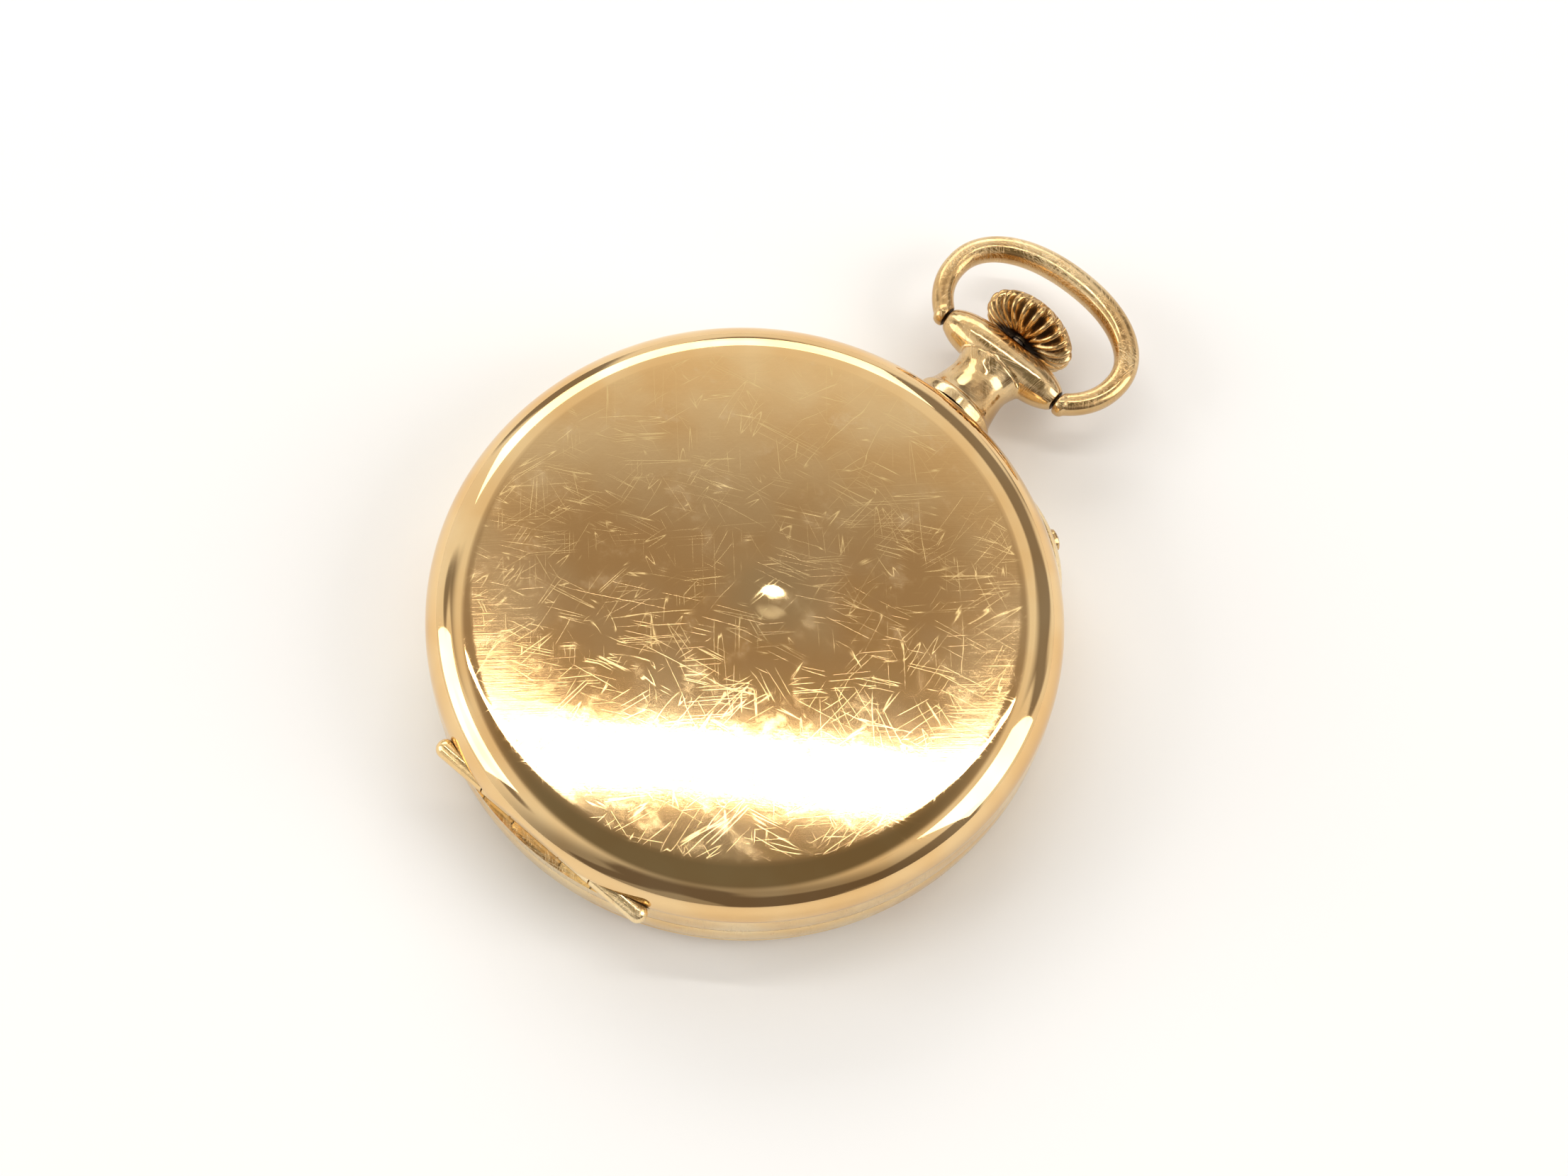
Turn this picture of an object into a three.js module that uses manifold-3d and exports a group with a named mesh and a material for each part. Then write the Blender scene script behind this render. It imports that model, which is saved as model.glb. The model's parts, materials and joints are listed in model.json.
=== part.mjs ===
// An open face pocket watch, stem-wound and pin-set, lying on its crystal.
//
// Millimetres. The origin is the middle of the crystal's flat outer face, +Z is the way the back faces, and
// +Y runs to the pendant, which stands at 12 o'clock. The dial faces -Z, so its 3 o'clock is at -X.
import * as THREE from 'three';
import { mergeVertices } from 'three/addons/utils/BufferGeometryUtils.js';
import Module from 'manifold-3d';

const wasm = await Module();
wasm.setup();

// ---------------------------------------------------------------- driving sizes

// Overall
const MOVEMENT_RADIUS = 20.6;
const PILLAR_HEIGHT = 1.6;          // free height between the main plate and the bridges

// Running fits and gaps
const TURNING_GAP = 0.06;           // radial, a pivot or tube in its hole
const STACK_GAP = 0.1;              // between pieces that lie over each other
const SEAT_GAP = 0.05;              // between pieces that are pressed, screwed or snapped together
const WHEEL_GAP = 0.22;             // between wheels that turn over each other

// Dial side
const CRYSTAL_THICKNESS = 0.9;
const CRYSTAL_PROUD = 0.5;          // how far the crystal stands out of the bezel
const HAND_THICKNESS = 0.18;
const HAND_GAP = 0.22;
const DIAL_THICKNESS = 0.5;
const MOTION_SPACE = 0.95;          // between the dial and the main plate
const SECONDS_RADIUS = 3.4;         // sunk circle of the small seconds
const SECONDS_SINK = 0.15;

// Movement
const PLATE_FLOOR = 0.3;            // what is left of the main plate under the barrel
const BRIDGE_THICKNESS = 0.7;
const WHEEL_THICKNESS = 0.25;
const RATCHET_THICKNESS = 0.35;
const BARREL_HEIGHT = 1.7;
const BARREL_DROP = 0.3;            // barrel's top below the centre wheel
const BARREL_CLEAR = 0.15;          // under the barrel, in its recess
const ARBOR_RADIUS = 0.35;
const PIVOT_RADIUS = 0.2;
const JEWEL_RADIUS = 0.75;
const JEWEL_THICKNESS = 0.3;
const SCREW_RADIUS = 0.45;
const SCREW_HEAD_RADIUS = 0.95;
const SCREW_HEAD_HEIGHT = 0.35;
const STEM_RADIUS = 0.6;

// Gearing: teeth, and the module as a share of the movement's radius, because a calibre is one drawing
const BARREL_TEETH = 48;
const CENTRE_PINION_LEAVES = 8;
const CENTRE_TEETH = 48;
const THIRD_PINION_LEAVES = 6;
const THIRD_TEETH = 45;
const FOURTH_PINION_LEAVES = 6;
const FOURTH_TEETH = 60;
const ESCAPE_PINION_LEAVES = 6;
const ESCAPE_TEETH = 15;
const CANNON_LEAVES = 10;
const MINUTE_TEETH = 30;
const MINUTE_PINION_LEAVES = 10;
const HOUR_TEETH = 40;
const RATCHET_TEETH = 36;
const CROWN_WHEEL_TEETH = 24;
const CONTRATE_TEETH = 26;
const WINDING_PINION_LEAVES = 10;
const BARREL_MODULE = MOVEMENT_RADIUS * 0.0157;
const CENTRE_MODULE = MOVEMENT_RADIUS * 0.0116;
const THIRD_MODULE = MOVEMENT_RADIUS * 0.0106;
const FOURTH_MODULE = MOVEMENT_RADIUS * 0.0073;
const MOTION_MODULE = MOVEMENT_RADIUS * 0.0116;
const RATCHET_MODULE = MOVEMENT_RADIUS * 0.018;
const ESCAPE_RADIUS = MOVEMENT_RADIUS * 0.165;
const BALANCE_RADIUS = MOVEMENT_RADIUS * 0.365;
const SECONDS_OFFSET = MOVEMENT_RADIUS * 0.466;
const BALANCE_RIM = 0.7;
const LEVEL_GAP = (PILLAR_HEIGHT - 3 * WHEEL_THICKNESS) * 0.235;
const CENTRE_LEVEL = LEVEL_GAP * 2.75 + WHEEL_THICKNESS * 2;
const PLATE_THICKNESS = BARREL_HEIGHT + BARREL_DROP + BARREL_CLEAR + PLATE_FLOOR - CENTRE_LEVEL;
const WINDING_PINION_RADIUS = (PLATE_THICKNESS + PILLAR_HEIGHT) * 0.4675;
const CONTRATE_RADIUS = (WINDING_PINION_RADIUS * CONTRATE_TEETH) / WINDING_PINION_LEAVES;
const CONTRATE_HALF_FACE = 0.35;
const CONTRATE_HEADROOM = 0.638;    // winding pinion to bridge, for the contrate wheel and its gaps

// Case
const CASE_WALL = 2.4;              // band, from its bore to its outside
const MOVEMENT_CLEARANCE = 1.0;     // between the main plate's rim and the bore of the band
const LEDGE_WIDTH = 1.6;            // inner ledge that the movement is screwed against
const LEDGE_THICKNESS = 0.55;
const RIM_WALL = 1.05;              // raised rims that the cover and the bezel snap over
const BEZEL_LIP = 3.2;              // from the outside of the band in to the crystal's opening
const CRYSTAL_SEAT = 0.65;          // ledge under the crystal's edge
const COVER_HEIGHT = 3.6;
const COVER_SHOULDER = 3.5;         // width of the rounded rim of the back cover
const COVER_DOME = 0.25;            // rise of the back cover's disc from its edge to its middle
const COVER_WALL = 0.45;
const CUVETTE_THICKNESS = 0.4;
const OLIVETTE_ANGLE = 59;          // degrees from +X to +Y
const OLIVETTE_HALF_ANGLE = 14;
const OLIVETTE_PROUD = 0.95;
const SETTING_PIN_RADIUS = 0.9;
const SETTING_PIN_PROUD = 0.35;     // out of the olivette
const SETTING_PIN_TRAVEL = 0.8;

// Hinge at 6 o'clock
const HINGE_RADIUS = 0.75;
const HINGE_INSET = 1.35;           // axis to the outside of the band
const HINGE_HALF_LENGTH = 10.2;
const COVER_KNUCKLE = 2.3;          // half length of the cover's middle knuckle
const CUVETTE_KNUCKLE = 2.8;        // length of each of the cuvette's two knuckles
const KNUCKLE_GAP = 0.12;
const HINGE_PIN_RADIUS = 0.3;
const COVER_TRIM = 0.85;            // hinge axis to the straight cut on the cover's edge

// Pendant, crown and bow
const NECK_BASE_RADIUS = 3.45;
const NECK_RADIUS = 2.55;
const NECK_BASE_HEIGHT = 1.1;
const NECK_LENGTH = 4.0;            // outside of the band to the narrowest place
const HEAD_REACH = 6.8;             // outside of the band to the middle of the head
const HEAD_RADIUS = 1.85;
const HEAD_HALF_LENGTH = 5.5;
const PENDANT_TUBE_RADIUS = 1.7;
const PENDANT_BORE_RADIUS = 0.85;
const CROWN_RADIUS = 4.15;
const CROWN_HEIGHT = 3.35;
const CROWN_GAP = 0.15;             // between the head and the crown's collar
const CROWN_RIBS = 22;
const CROWN_RIB_DEPTH = 0.3;
const BOW_HALF_WIDTH = 8.1;         // to the middle of the wire
const BOW_RISE = 9.3;               // bow's pivot line to the middle of the wire at the top
const BOW_WIDEST = 4.2;             // pivot line to where the bow is widest
const BOW_LOWER_HEIGHT = 5.8;       // half height of the oval that the bow's lower part follows
const BOW_POWER = 2.15;             // 2 is an ellipse, more is squarer
const BOW_WIRE = 1.1;               // half of the wire's width
const BOW_WIRE_DEPTH = 1.05;        // half of the wire's depth
const BOW_PIN_RADIUS = 0.4;
const BOW_PIN_LENGTH = 1.3;

// Facets
const ROUND = 40;                   // segments round the case
const SMALL_ROUND = 12;             // segments round small turned pieces
const TINY_ROUND = 8;

// ---------------------------------------------------------------- heights above the crystal's outer face

const MINUTE_HAND_Z = CRYSTAL_THICKNESS + HAND_GAP;
const HOUR_HAND_Z = MINUTE_HAND_Z + HAND_THICKNESS + HAND_GAP;
const SECONDS_HAND_Z = HOUR_HAND_Z + HAND_THICKNESS + STACK_GAP;
const DIAL_Z = SECONDS_HAND_Z + HAND_THICKNESS + HAND_GAP;
const DIAL_TOP_Z = DIAL_Z + DIAL_THICKNESS;
const PLATE_Z = DIAL_TOP_Z + MOTION_SPACE;
const PLATE_TOP_Z = PLATE_Z + PLATE_THICKNESS;
const BRIDGE_Z = PLATE_TOP_Z + PILLAR_HEIGHT;
const BRIDGE_TOP_Z = BRIDGE_Z + BRIDGE_THICKNESS;
const RATCHET_Z = BRIDGE_TOP_Z + SEAT_GAP;
const RATCHET_TOP_Z = RATCHET_Z + RATCHET_THICKNESS;
const MOVEMENT_TOP_Z = RATCHET_TOP_Z + SEAT_GAP + SCREW_HEAD_HEIGHT;
const CUVETTE_Z = MOVEMENT_TOP_Z + WHEEL_GAP;
const SEAM_Z = CUVETTE_Z - 1.3;
const BAND_Z = DIAL_Z - 0.05;
const STEM_Z = BRIDGE_Z - CONTRATE_HEADROOM - WINDING_PINION_RADIUS;
const BEZEL_Z = CRYSTAL_PROUD;
const COVER_TOP_Z = SEAM_Z + COVER_HEIGHT;

// Wheel levels between the plate and the bridges
const THIRD_Z = PLATE_TOP_Z + LEVEL_GAP * 0.75;
const FOURTH_Z = THIRD_Z + WHEEL_THICKNESS + LEVEL_GAP;
const CENTRE_Z = PLATE_TOP_Z + CENTRE_LEVEL;
const ESCAPE_Z = THIRD_Z;
const BARREL_Z = CENTRE_Z - BARREL_DROP - BARREL_HEIGHT;
const BALANCE_Z = BRIDGE_Z - 0.1;
const BALANCE_THICKNESS = 0.5;
const HAIRSPRING_Z = BALANCE_Z + BALANCE_THICKNESS + 0.12;
const COCK_Z = HAIRSPRING_Z + 0.3;
const COCK_THICKNESS = 0.45;

// ---------------------------------------------------------------- radii and places worked out from them

const BORE_RADIUS = MOVEMENT_RADIUS + MOVEMENT_CLEARANCE;
const CASE_RADIUS = BORE_RADIUS + CASE_WALL;
const RIM_RADIUS = BORE_RADIUS + RIM_WALL;
const LEDGE_RADIUS = BORE_RADIUS - LEDGE_WIDTH;
const CRYSTAL_RADIUS = CASE_RADIUS - BEZEL_LIP + 0.2;
const DIAL_RADIUS = MOVEMENT_RADIUS;
const HINGE_Y = -(CASE_RADIUS - HINGE_INSET);
const LEDGE_Z = PLATE_TOP_Z + SEAT_GAP;

const meshDistance = (first, second, gearModule) => ((first + second) * gearModule) / 2;

// Where two circles about known centres cross, on the side that sign picks
function crossing(from, fromRadius, to, toRadius, sign) {
  const gap = to.clone().sub(from);
  const distance = gap.length();
  const along = (fromRadius ** 2 - toRadius ** 2 + distance ** 2) / (2 * distance);
  const aside = Math.sqrt(fromRadius ** 2 - along ** 2);
  const unit = gap.divideScalar(distance);
  const normal = new THREE.Vector2(-unit.y, unit.x);
  return from.clone().addScaledVector(unit, along).addScaledVector(normal, sign * aside);
}

const polar = (radius, degrees) => {
  const angle = THREE.MathUtils.degToRad(degrees);
  return new THREE.Vector2(radius * Math.cos(angle), radius * Math.sin(angle));
};

const CENTRE = new THREE.Vector2(0, 0);
const FOURTH = new THREE.Vector2(0, -SECONDS_OFFSET);
const THIRD = crossing(
  CENTRE,
  meshDistance(CENTRE_TEETH, THIRD_PINION_LEAVES, CENTRE_MODULE),
  FOURTH,
  meshDistance(THIRD_TEETH, FOURTH_PINION_LEAVES, THIRD_MODULE),
  1,
);
const ESCAPE_REACH = meshDistance(FOURTH_TEETH, ESCAPE_PINION_LEAVES, FOURTH_MODULE);
const ESCAPE = FOURTH.clone().add(polar(ESCAPE_REACH, 216));
const PALLET_DISTANCE = ESCAPE_RADIUS * 1.19;
const BALANCE_DISTANCE = ESCAPE_RADIUS * 2.75;
const PALLET = ESCAPE.clone().add(polar(PALLET_DISTANCE, 135));
const BALANCE = ESCAPE.clone().add(polar(BALANCE_DISTANCE, 135));
const BARREL = polar(meshDistance(BARREL_TEETH, CENTRE_PINION_LEAVES, BARREL_MODULE), 142);
const WHEEL_REACH = meshDistance(RATCHET_TEETH, CROWN_WHEEL_TEETH, RATCHET_MODULE);
const CROWN_WHEEL = new THREE.Vector2(0, BARREL.y + Math.sqrt(WHEEL_REACH ** 2 - BARREL.x ** 2));
const MINUTE_WHEEL = polar(meshDistance(CANNON_LEAVES, MINUTE_TEETH, MOTION_MODULE), 60);
const MINUTE_PINION_MODULE = (2 * MINUTE_WHEEL.length()) / (MINUTE_PINION_LEAVES + HOUR_TEETH);

// ---------------------------------------------------------------- solids

// A closed geometry as a solid that can be joined and cut
function solid(geometry) {
  const bare = geometry.clone();
  bare.deleteAttribute('normal');
  bare.deleteAttribute('uv');
  const merged = mergeVertices(bare, 1e-4);
  const corners = merged.index ? merged.index.array : merged.attributes.position.array.map((_, i) => i);
  const triVerts = [];
  for (let i = 0; i < corners.length; i += 3) {
    const [a, b, c] = corners.slice(i, i + 3);
    if (a !== b && b !== c && c !== a) triVerts.push(a, b, c);
  }
  const vertProperties = new Float32Array(merged.attributes.position.array);
  const mesh = new wasm.Mesh({ numProp: 3, vertProperties, triVerts: new Uint32Array(triVerts) });
  return new wasm.Manifold(mesh);
}

// A cut and joined solid back as a geometry
function geometryOf(piece) {
  const mesh = piece.getMesh();
  const geometry = new THREE.BufferGeometry();
  geometry.setAttribute('position', new THREE.BufferAttribute(new Float32Array(mesh.vertProperties), 3));
  geometry.setIndex(new THREE.BufferAttribute(new Uint32Array(mesh.triVerts), 1));
  geometry.computeVertexNormals();
  return geometry;
}

const join = (...pieces) => pieces.reduce((whole, piece) => whole.add(piece));
const cut = (whole, ...tools) => tools.reduce((rest, tool) => rest.subtract(tool), whole);

// A profile of [radius, height] turned about Z; it starts and ends on the axis or closes on itself
function turnedGeometry(profile, segments = SMALL_ROUND) {
  const onAxis = profile[0][0] === 0 && profile[profile.length - 1][0] === 0;
  const loop = onAxis ? profile : [...profile, profile[0]];
  let area = 0;
  for (let i = 0; i < profile.length; i += 1) {
    const [r0, z0] = profile[i];
    const [r1, z1] = profile[(i + 1) % profile.length];
    area += r0 * z1 - r1 * z0;
  }
  const ordered = area > 0 ? loop : [...loop].reverse();
  const points = ordered.map(([radius, height]) => new THREE.Vector2(radius, height));
  return new THREE.LatheGeometry(points, segments).rotateX(Math.PI / 2);
}

const turned = (profile, segments) => solid(turnedGeometry(profile, segments));

const disc = (radius, z0, z1, segments = SMALL_ROUND) =>
  turned([[0, z0], [radius, z0], [radius, z1], [0, z1]], segments);

const tube = (inner, outer, z0, z1, segments = SMALL_ROUND) =>
  turned([[inner, z0], [outer, z0], [outer, z1], [inner, z1]], segments);

// A faceted hole of this many segments that still clears a shaft of the given radius
const holeRadius = (shaft, gap, segments) => (shaft + gap) / Math.cos(Math.PI / segments);

const hole = (shaft, gap, z0, z1, segments = SMALL_ROUND) =>
  disc(holeRadius(shaft, gap, segments), z0, z1, segments);

// Places a solid's geometry with a matrix before it is joined or cut
function moved(geometry, x, y, z = 0, turn = 0) {
  return solid(geometry.clone().rotateZ(turn).translate(x, y, z));
}

const discAt = (place, radius, z0, z1, segments = SMALL_ROUND) =>
  moved(turnedGeometry([[0, z0], [radius, z0], [radius, z1], [0, z1]], segments), place.x, place.y);

function block(x0, x1, y0, y1, z0, z1) {
  const geometry = new THREE.BoxGeometry(x1 - x0, y1 - y0, z1 - z0);
  return solid(geometry.translate((x0 + x1) / 2, (y0 + y1) / 2, (z0 + z1) / 2));
}

const plateGeometry = (shape, z0, z1, curveSegments = 8) =>
  new THREE.ExtrudeGeometry(shape, { depth: z1 - z0, bevelEnabled: false, curveSegments })
    .translate(0, 0, z0);

const plate = (shape, z0, z1, curveSegments) => solid(plateGeometry(shape, z0, z1, curveSegments));

// Turned about a line along X through y, z
const turnedAlongX = (profile, y, z, segments) =>
  solid(turnedGeometry(profile, segments).rotateY(Math.PI / 2).translate(0, y, z));

// Turned about a line along Y through x = 0 and z
const turnedAlongY = (profile, z, segments) =>
  solid(turnedGeometry(profile, segments).rotateX(-Math.PI / 2).translate(0, 0, z));

// The rounded strip that wraps two circles, as bridges, cocks and hands are cut
function strap(from, fromRadius, to, toRadius, segments = 10) {
  const angle = Math.atan2(to.y - from.y, to.x - from.x);
  const spread = Math.acos((fromRadius - toRadius) / from.distanceTo(to));
  const shape = new THREE.Shape();
  const arc = (centre, radius, start, end, first) => {
    for (let i = 0; i <= segments; i += 1) {
      const a = start + ((end - start) * i) / segments;
      const x = centre.x + radius * Math.cos(a);
      const y = centre.y + radius * Math.sin(a);
      if (first && i === 0) shape.moveTo(x, y);
      else shape.lineTo(x, y);
    }
  };
  arc(from, fromRadius, angle + spread, angle + 2 * Math.PI - spread, true);
  arc(to, toRadius, angle - spread, angle + spread, false);
  shape.closePath();
  return shape;
}

// ---------------------------------------------------------------- toothed wheels

// Outline of a wheel with pointed teeth, or of a pinion with narrow flat-topped leaves
function toothedShape(teeth, tipRadius, rootRadius, tipShare, rootShare, phase = 0) {
  const shape = new THREE.Shape();
  const pitch = (2 * Math.PI) / teeth;
  for (let i = 0; i < teeth; i += 1) {
    const middle = phase + i * pitch;
    const corners = [
      [rootRadius, middle - (pitch * rootShare) / 2],
      [tipRadius, middle - (pitch * tipShare) / 2],
      [tipRadius, middle + (pitch * tipShare) / 2],
      [rootRadius, middle + (pitch * rootShare) / 2],
    ];
    if (tipShare === 0) corners.splice(2, 1);
    if (rootShare === 1) corners.pop();
    corners.forEach(([radius, angle], corner) => {
      const x = radius * Math.cos(angle);
      const y = radius * Math.sin(angle);
      if (i === 0 && corner === 0) shape.moveTo(x, y);
      else shape.lineTo(x, y);
    });
  }
  shape.closePath();
  return shape;
}

const WHEEL_ADDENDUM = 1.0;         // in modules
const WHEEL_DEDENDUM = 1.3;
const PINION_ADDENDUM = 0.45;
const PINION_DEDENDUM = 1.45;
const LEAF_TIP = 0.15;              // share of the pitch
const LEAF_ROOT = 0.26;

const wheelShape = (teeth, gearModule, phase = 0) =>
  toothedShape(
    teeth,
    (teeth * gearModule) / 2 + WHEEL_ADDENDUM * gearModule,
    (teeth * gearModule) / 2 - WHEEL_DEDENDUM * gearModule,
    0,
    1,
    phase,
  );

const pinionShape = (leaves, gearModule, phase = 0) =>
  toothedShape(
    leaves,
    (leaves * gearModule) / 2 + PINION_ADDENDUM * gearModule,
    (leaves * gearModule) / 2 - PINION_DEDENDUM * gearModule,
    LEAF_TIP,
    LEAF_ROOT,
    phase,
  );

const rootRadius = (teeth, gearModule) => (teeth * gearModule) / 2 - WHEEL_DEDENDUM * gearModule;

// Adds a round hole to a shape
function pierce(shape, radius, segments = SMALL_ROUND) {
  const path = new THREE.Path();
  for (let i = 0; i < segments; i += 1) {
    const angle = (-2 * Math.PI * i) / segments;
    if (i === 0) path.moveTo(radius, 0);
    else path.lineTo(radius * Math.cos(angle), radius * Math.sin(angle));
  }
  path.closePath();
  shape.holes.push(path);
  return shape;
}

// Adds the windows between the spokes
function crossOut(shape, spokes, inner, outer, spokeWidth) {
  const steps = 2;
  for (let i = 0; i < spokes; i += 1) {
    const start = (2 * Math.PI * i) / spokes;
    const end = start + (2 * Math.PI) / spokes;
    const path = new THREE.Path();
    for (let side = 0; side < 2; side += 1) {
      const radius = side === 0 ? outer : inner;
      const pad = spokeWidth / 2 / radius;
      for (let k = 0; k <= steps; k += 1) {
        const share = side === 0 ? 1 - k / steps : k / steps;
        const angle = start + pad + (end - start - 2 * pad) * share;
        const x = radius * Math.cos(angle);
        const y = radius * Math.sin(angle);
        if (side === 0 && k === 0) path.moveTo(x, y);
        else path.lineTo(x, y);
      }
    }
    path.closePath();
    shape.holes.push(path);
  }
  return shape;
}

// Angle that a wheel on the second place is turned by, to have a gap where the first has a tooth
function meshPhase(first, firstTeeth, firstPhase, second, secondTeeth) {
  const towards = Math.atan2(second.y - first.y, second.x - first.x);
  const firstPitch = (2 * Math.PI) / firstTeeth;
  const secondPitch = (2 * Math.PI) / secondTeeth;
  const offset = (towards - firstPhase) / firstPitch;
  return towards + Math.PI + (offset + 0.5) * secondPitch;
}

// ---------------------------------------------------------------- materials

const watch = new THREE.Group();

const metal = (color, roughness) => () => new THREE.MeshStandardMaterial({ color, roughness, metalness: 1 });
const gold = metal(0xd9b25c, 0.18);
const gilt = metal(0xc9a24a, 0.35);
const steel = metal(0xb9bcc2, 0.25);
const blued = metal(0x1e2f6b, 0.3);
const nickel = metal(0xcfccc2, 0.32);
const brass = metal(0xc8a451, 0.3);
const enamel = () => new THREE.MeshStandardMaterial({ color: 0xf4f1e6, roughness: 0.2, metalness: 0 });
const ruby = () => new THREE.MeshStandardMaterial({ color: 0xb01838, roughness: 0.1, metalness: 0 });
const crystalGlass = () => new THREE.MeshStandardMaterial({ color: 0xeaf2f4, roughness: 0.05, metalness: 0 });

function node(name, piece, material, place = null) {
  const mesh = new THREE.Mesh(geometryOf(piece), material());
  mesh.name = name;
  if (place) mesh.position.set(place.x, place.y, 0);
  watch.add(mesh);
  return mesh;
}

// ---------------------------------------------------------------- case

const HINGE_CLEAR = HINGE_RADIUS + 0.08;
const CUVETTE_KNUCKLE_END = COVER_KNUCKLE + KNUCKLE_GAP + CUVETTE_KNUCKLE;
const PIN_BORE = holeRadius(HINGE_PIN_RADIUS, TURNING_GAP, TINY_ROUND);

// A cylinder along the hinge axis
function hingeCylinder(radius, x0, x1, segments = SMALL_ROUND) {
  return turnedAlongX([[0, x0], [radius, x0], [radius, x1], [0, x1]], HINGE_Y, SEAM_Z, segments);
}

const pinBore = () => hingeCylinder(PIN_BORE, -HINGE_HALF_LENGTH - 1, HINGE_HALF_LENGTH - 1, TINY_ROUND);

// Half-width of the case circle where the hinge line crosses it
const HINGE_CHORD = Math.sqrt(CASE_RADIUS ** 2 - HINGE_Y ** 2);

// The fixed knuckles with their rounded ends, which stand proud of the round band
function wingKnuckle(side) {
  const x0 = CUVETTE_KNUCKLE_END + KNUCKLE_GAP;
  const x1 = HINGE_HALF_LENGTH;
  const profile = [
    [0, x0],
    [HINGE_RADIUS, x0],
    [HINGE_RADIUS, x1 - HINGE_RADIUS],
    [HINGE_RADIUS * 0.87, x1 - HINGE_RADIUS * 0.5],
    [HINGE_RADIUS * 0.5, x1 - HINGE_RADIUS * 0.13],
    [0, x1],
  ];
  return turnedAlongX(profile.map(([radius, x]) => [radius, side * x]), HINGE_Y, SEAM_Z, SMALL_ROUND);
}

// The lens-shaped guard round the setting pin
const OLIVETTE_CHORD = CASE_RADIUS * Math.cos(THREE.MathUtils.degToRad(OLIVETTE_HALF_ANGLE));
const OLIVETTE_HALF_CHORD = CASE_RADIUS * Math.sin(THREE.MathUtils.degToRad(OLIVETTE_HALF_ANGLE));
const OLIVETTE_SAGITTA = CASE_RADIUS + OLIVETTE_PROUD - OLIVETTE_CHORD;
const OLIVETTE_RADIUS = (OLIVETTE_HALF_CHORD ** 2 + OLIVETTE_SAGITTA ** 2) / (2 * OLIVETTE_SAGITTA);
const BAND_HEIGHT = SEAM_Z - BAND_Z;
const OLIVETTE_HALF_HEIGHT = BAND_HEIGHT / 2 - 0.35;

function olivette() {
  const middle = polar(CASE_RADIUS + OLIVETTE_PROUD - OLIVETTE_RADIUS, OLIVETTE_ANGLE);
  const profile = [
    [0, -OLIVETTE_HALF_HEIGHT],
    [OLIVETTE_RADIUS - 0.9, -OLIVETTE_HALF_HEIGHT],
    [OLIVETTE_RADIUS - 0.3, -OLIVETTE_HALF_HEIGHT * 0.8],
    [OLIVETTE_RADIUS, -OLIVETTE_HALF_HEIGHT * 0.35],
    [OLIVETTE_RADIUS, OLIVETTE_HALF_HEIGHT * 0.35],
    [OLIVETTE_RADIUS - 0.3, OLIVETTE_HALF_HEIGHT * 0.8],
    [OLIVETTE_RADIUS - 0.9, OLIVETTE_HALF_HEIGHT],
    [0, OLIVETTE_HALF_HEIGHT],
  ];
  const barrel = moved(turnedGeometry(profile, 40), middle.x, middle.y, STEM_Z);
  return cut(barrel, disc(CASE_RADIUS - CASE_WALL / 2, BAND_Z - 1, SEAM_Z + 1, ROUND));
}

// A cylinder along a radius of the case at the stem's height
function radialCylinder(radius, from, to, degrees, segments = SMALL_ROUND) {
  const geometry = turnedGeometry([[0, from], [radius, from], [radius, to], [0, to]], segments);
  geometry.rotateY(Math.PI / 2).rotateZ(THREE.MathUtils.degToRad(degrees));
  return solid(geometry.translate(0, 0, STEM_Z));
}

const BEZEL_RIM_Z = BEZEL_Z + 0.85;
const COVER_RIM_Z = CUVETTE_Z - SEAT_GAP;
const PENDANT_STUB = holeRadius(PENDANT_TUBE_RADIUS, SEAT_GAP, SMALL_ROUND);

function caseMiddle() {
  const ring = turned(
    [
      [BORE_RADIUS, BEZEL_RIM_Z],
      [RIM_RADIUS, BEZEL_RIM_Z],
      [RIM_RADIUS, BAND_Z],
      [CASE_RADIUS - 0.3, BAND_Z],
      [CASE_RADIUS - 0.12, BAND_Z + 0.5],
      [CASE_RADIUS - 0.06, STEM_Z],
      [CASE_RADIUS, STEM_Z + 0.25],
      [CASE_RADIUS, SEAM_Z - SEAT_GAP],
      [RIM_RADIUS, SEAM_Z - SEAT_GAP],
      [RIM_RADIUS, COVER_RIM_Z],
      [BORE_RADIUS, COVER_RIM_Z],
      [BORE_RADIUS, LEDGE_Z + LEDGE_THICKNESS],
      [LEDGE_RADIUS, LEDGE_Z + LEDGE_THICKNESS],
      [LEDGE_RADIUS, LEDGE_Z],
      [BORE_RADIUS, LEDGE_Z],
    ],
    ROUND,
  );
  const ledgeCut = COVER_TRIM + 0.25;
  const seat = block(
    -HINGE_CHORD - 0.4,
    HINGE_CHORD + 0.4,
    -CASE_RADIUS - 1,
    HINGE_Y,
    SEAM_Z - ledgeCut,
    SEAM_Z + 3,
  );
  const web = block(
    -CUVETTE_KNUCKLE_END - KNUCKLE_GAP,
    CUVETTE_KNUCKLE_END + KNUCKLE_GAP,
    -CASE_RADIUS,
    HINGE_Y + HINGE_CLEAR + 0.3,
    SEAM_Z - HINGE_CLEAR,
    COVER_RIM_Z + 1,
  );
  const gapHalf = CUVETTE_KNUCKLE_END + KNUCKLE_GAP;
  const rest = cut(ring, seat, web, hingeCylinder(HINGE_CLEAR, -gapHalf, gapHalf));
  const whole = join(rest, olivette(), wingKnuckle(1), wingKnuckle(-1));
  return cut(
    whole,
    pinBore(),
    radialCylinder(PENDANT_STUB, BORE_RADIUS - LEDGE_WIDTH - 1, CASE_RADIUS + 2, 90),
    radialCylinder(
      holeRadius(SETTING_PIN_RADIUS, TURNING_GAP, SMALL_ROUND),
      LEDGE_RADIUS - 1,
      CASE_RADIUS + 4,
      OLIVETTE_ANGLE,
    ),
  );
}

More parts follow.
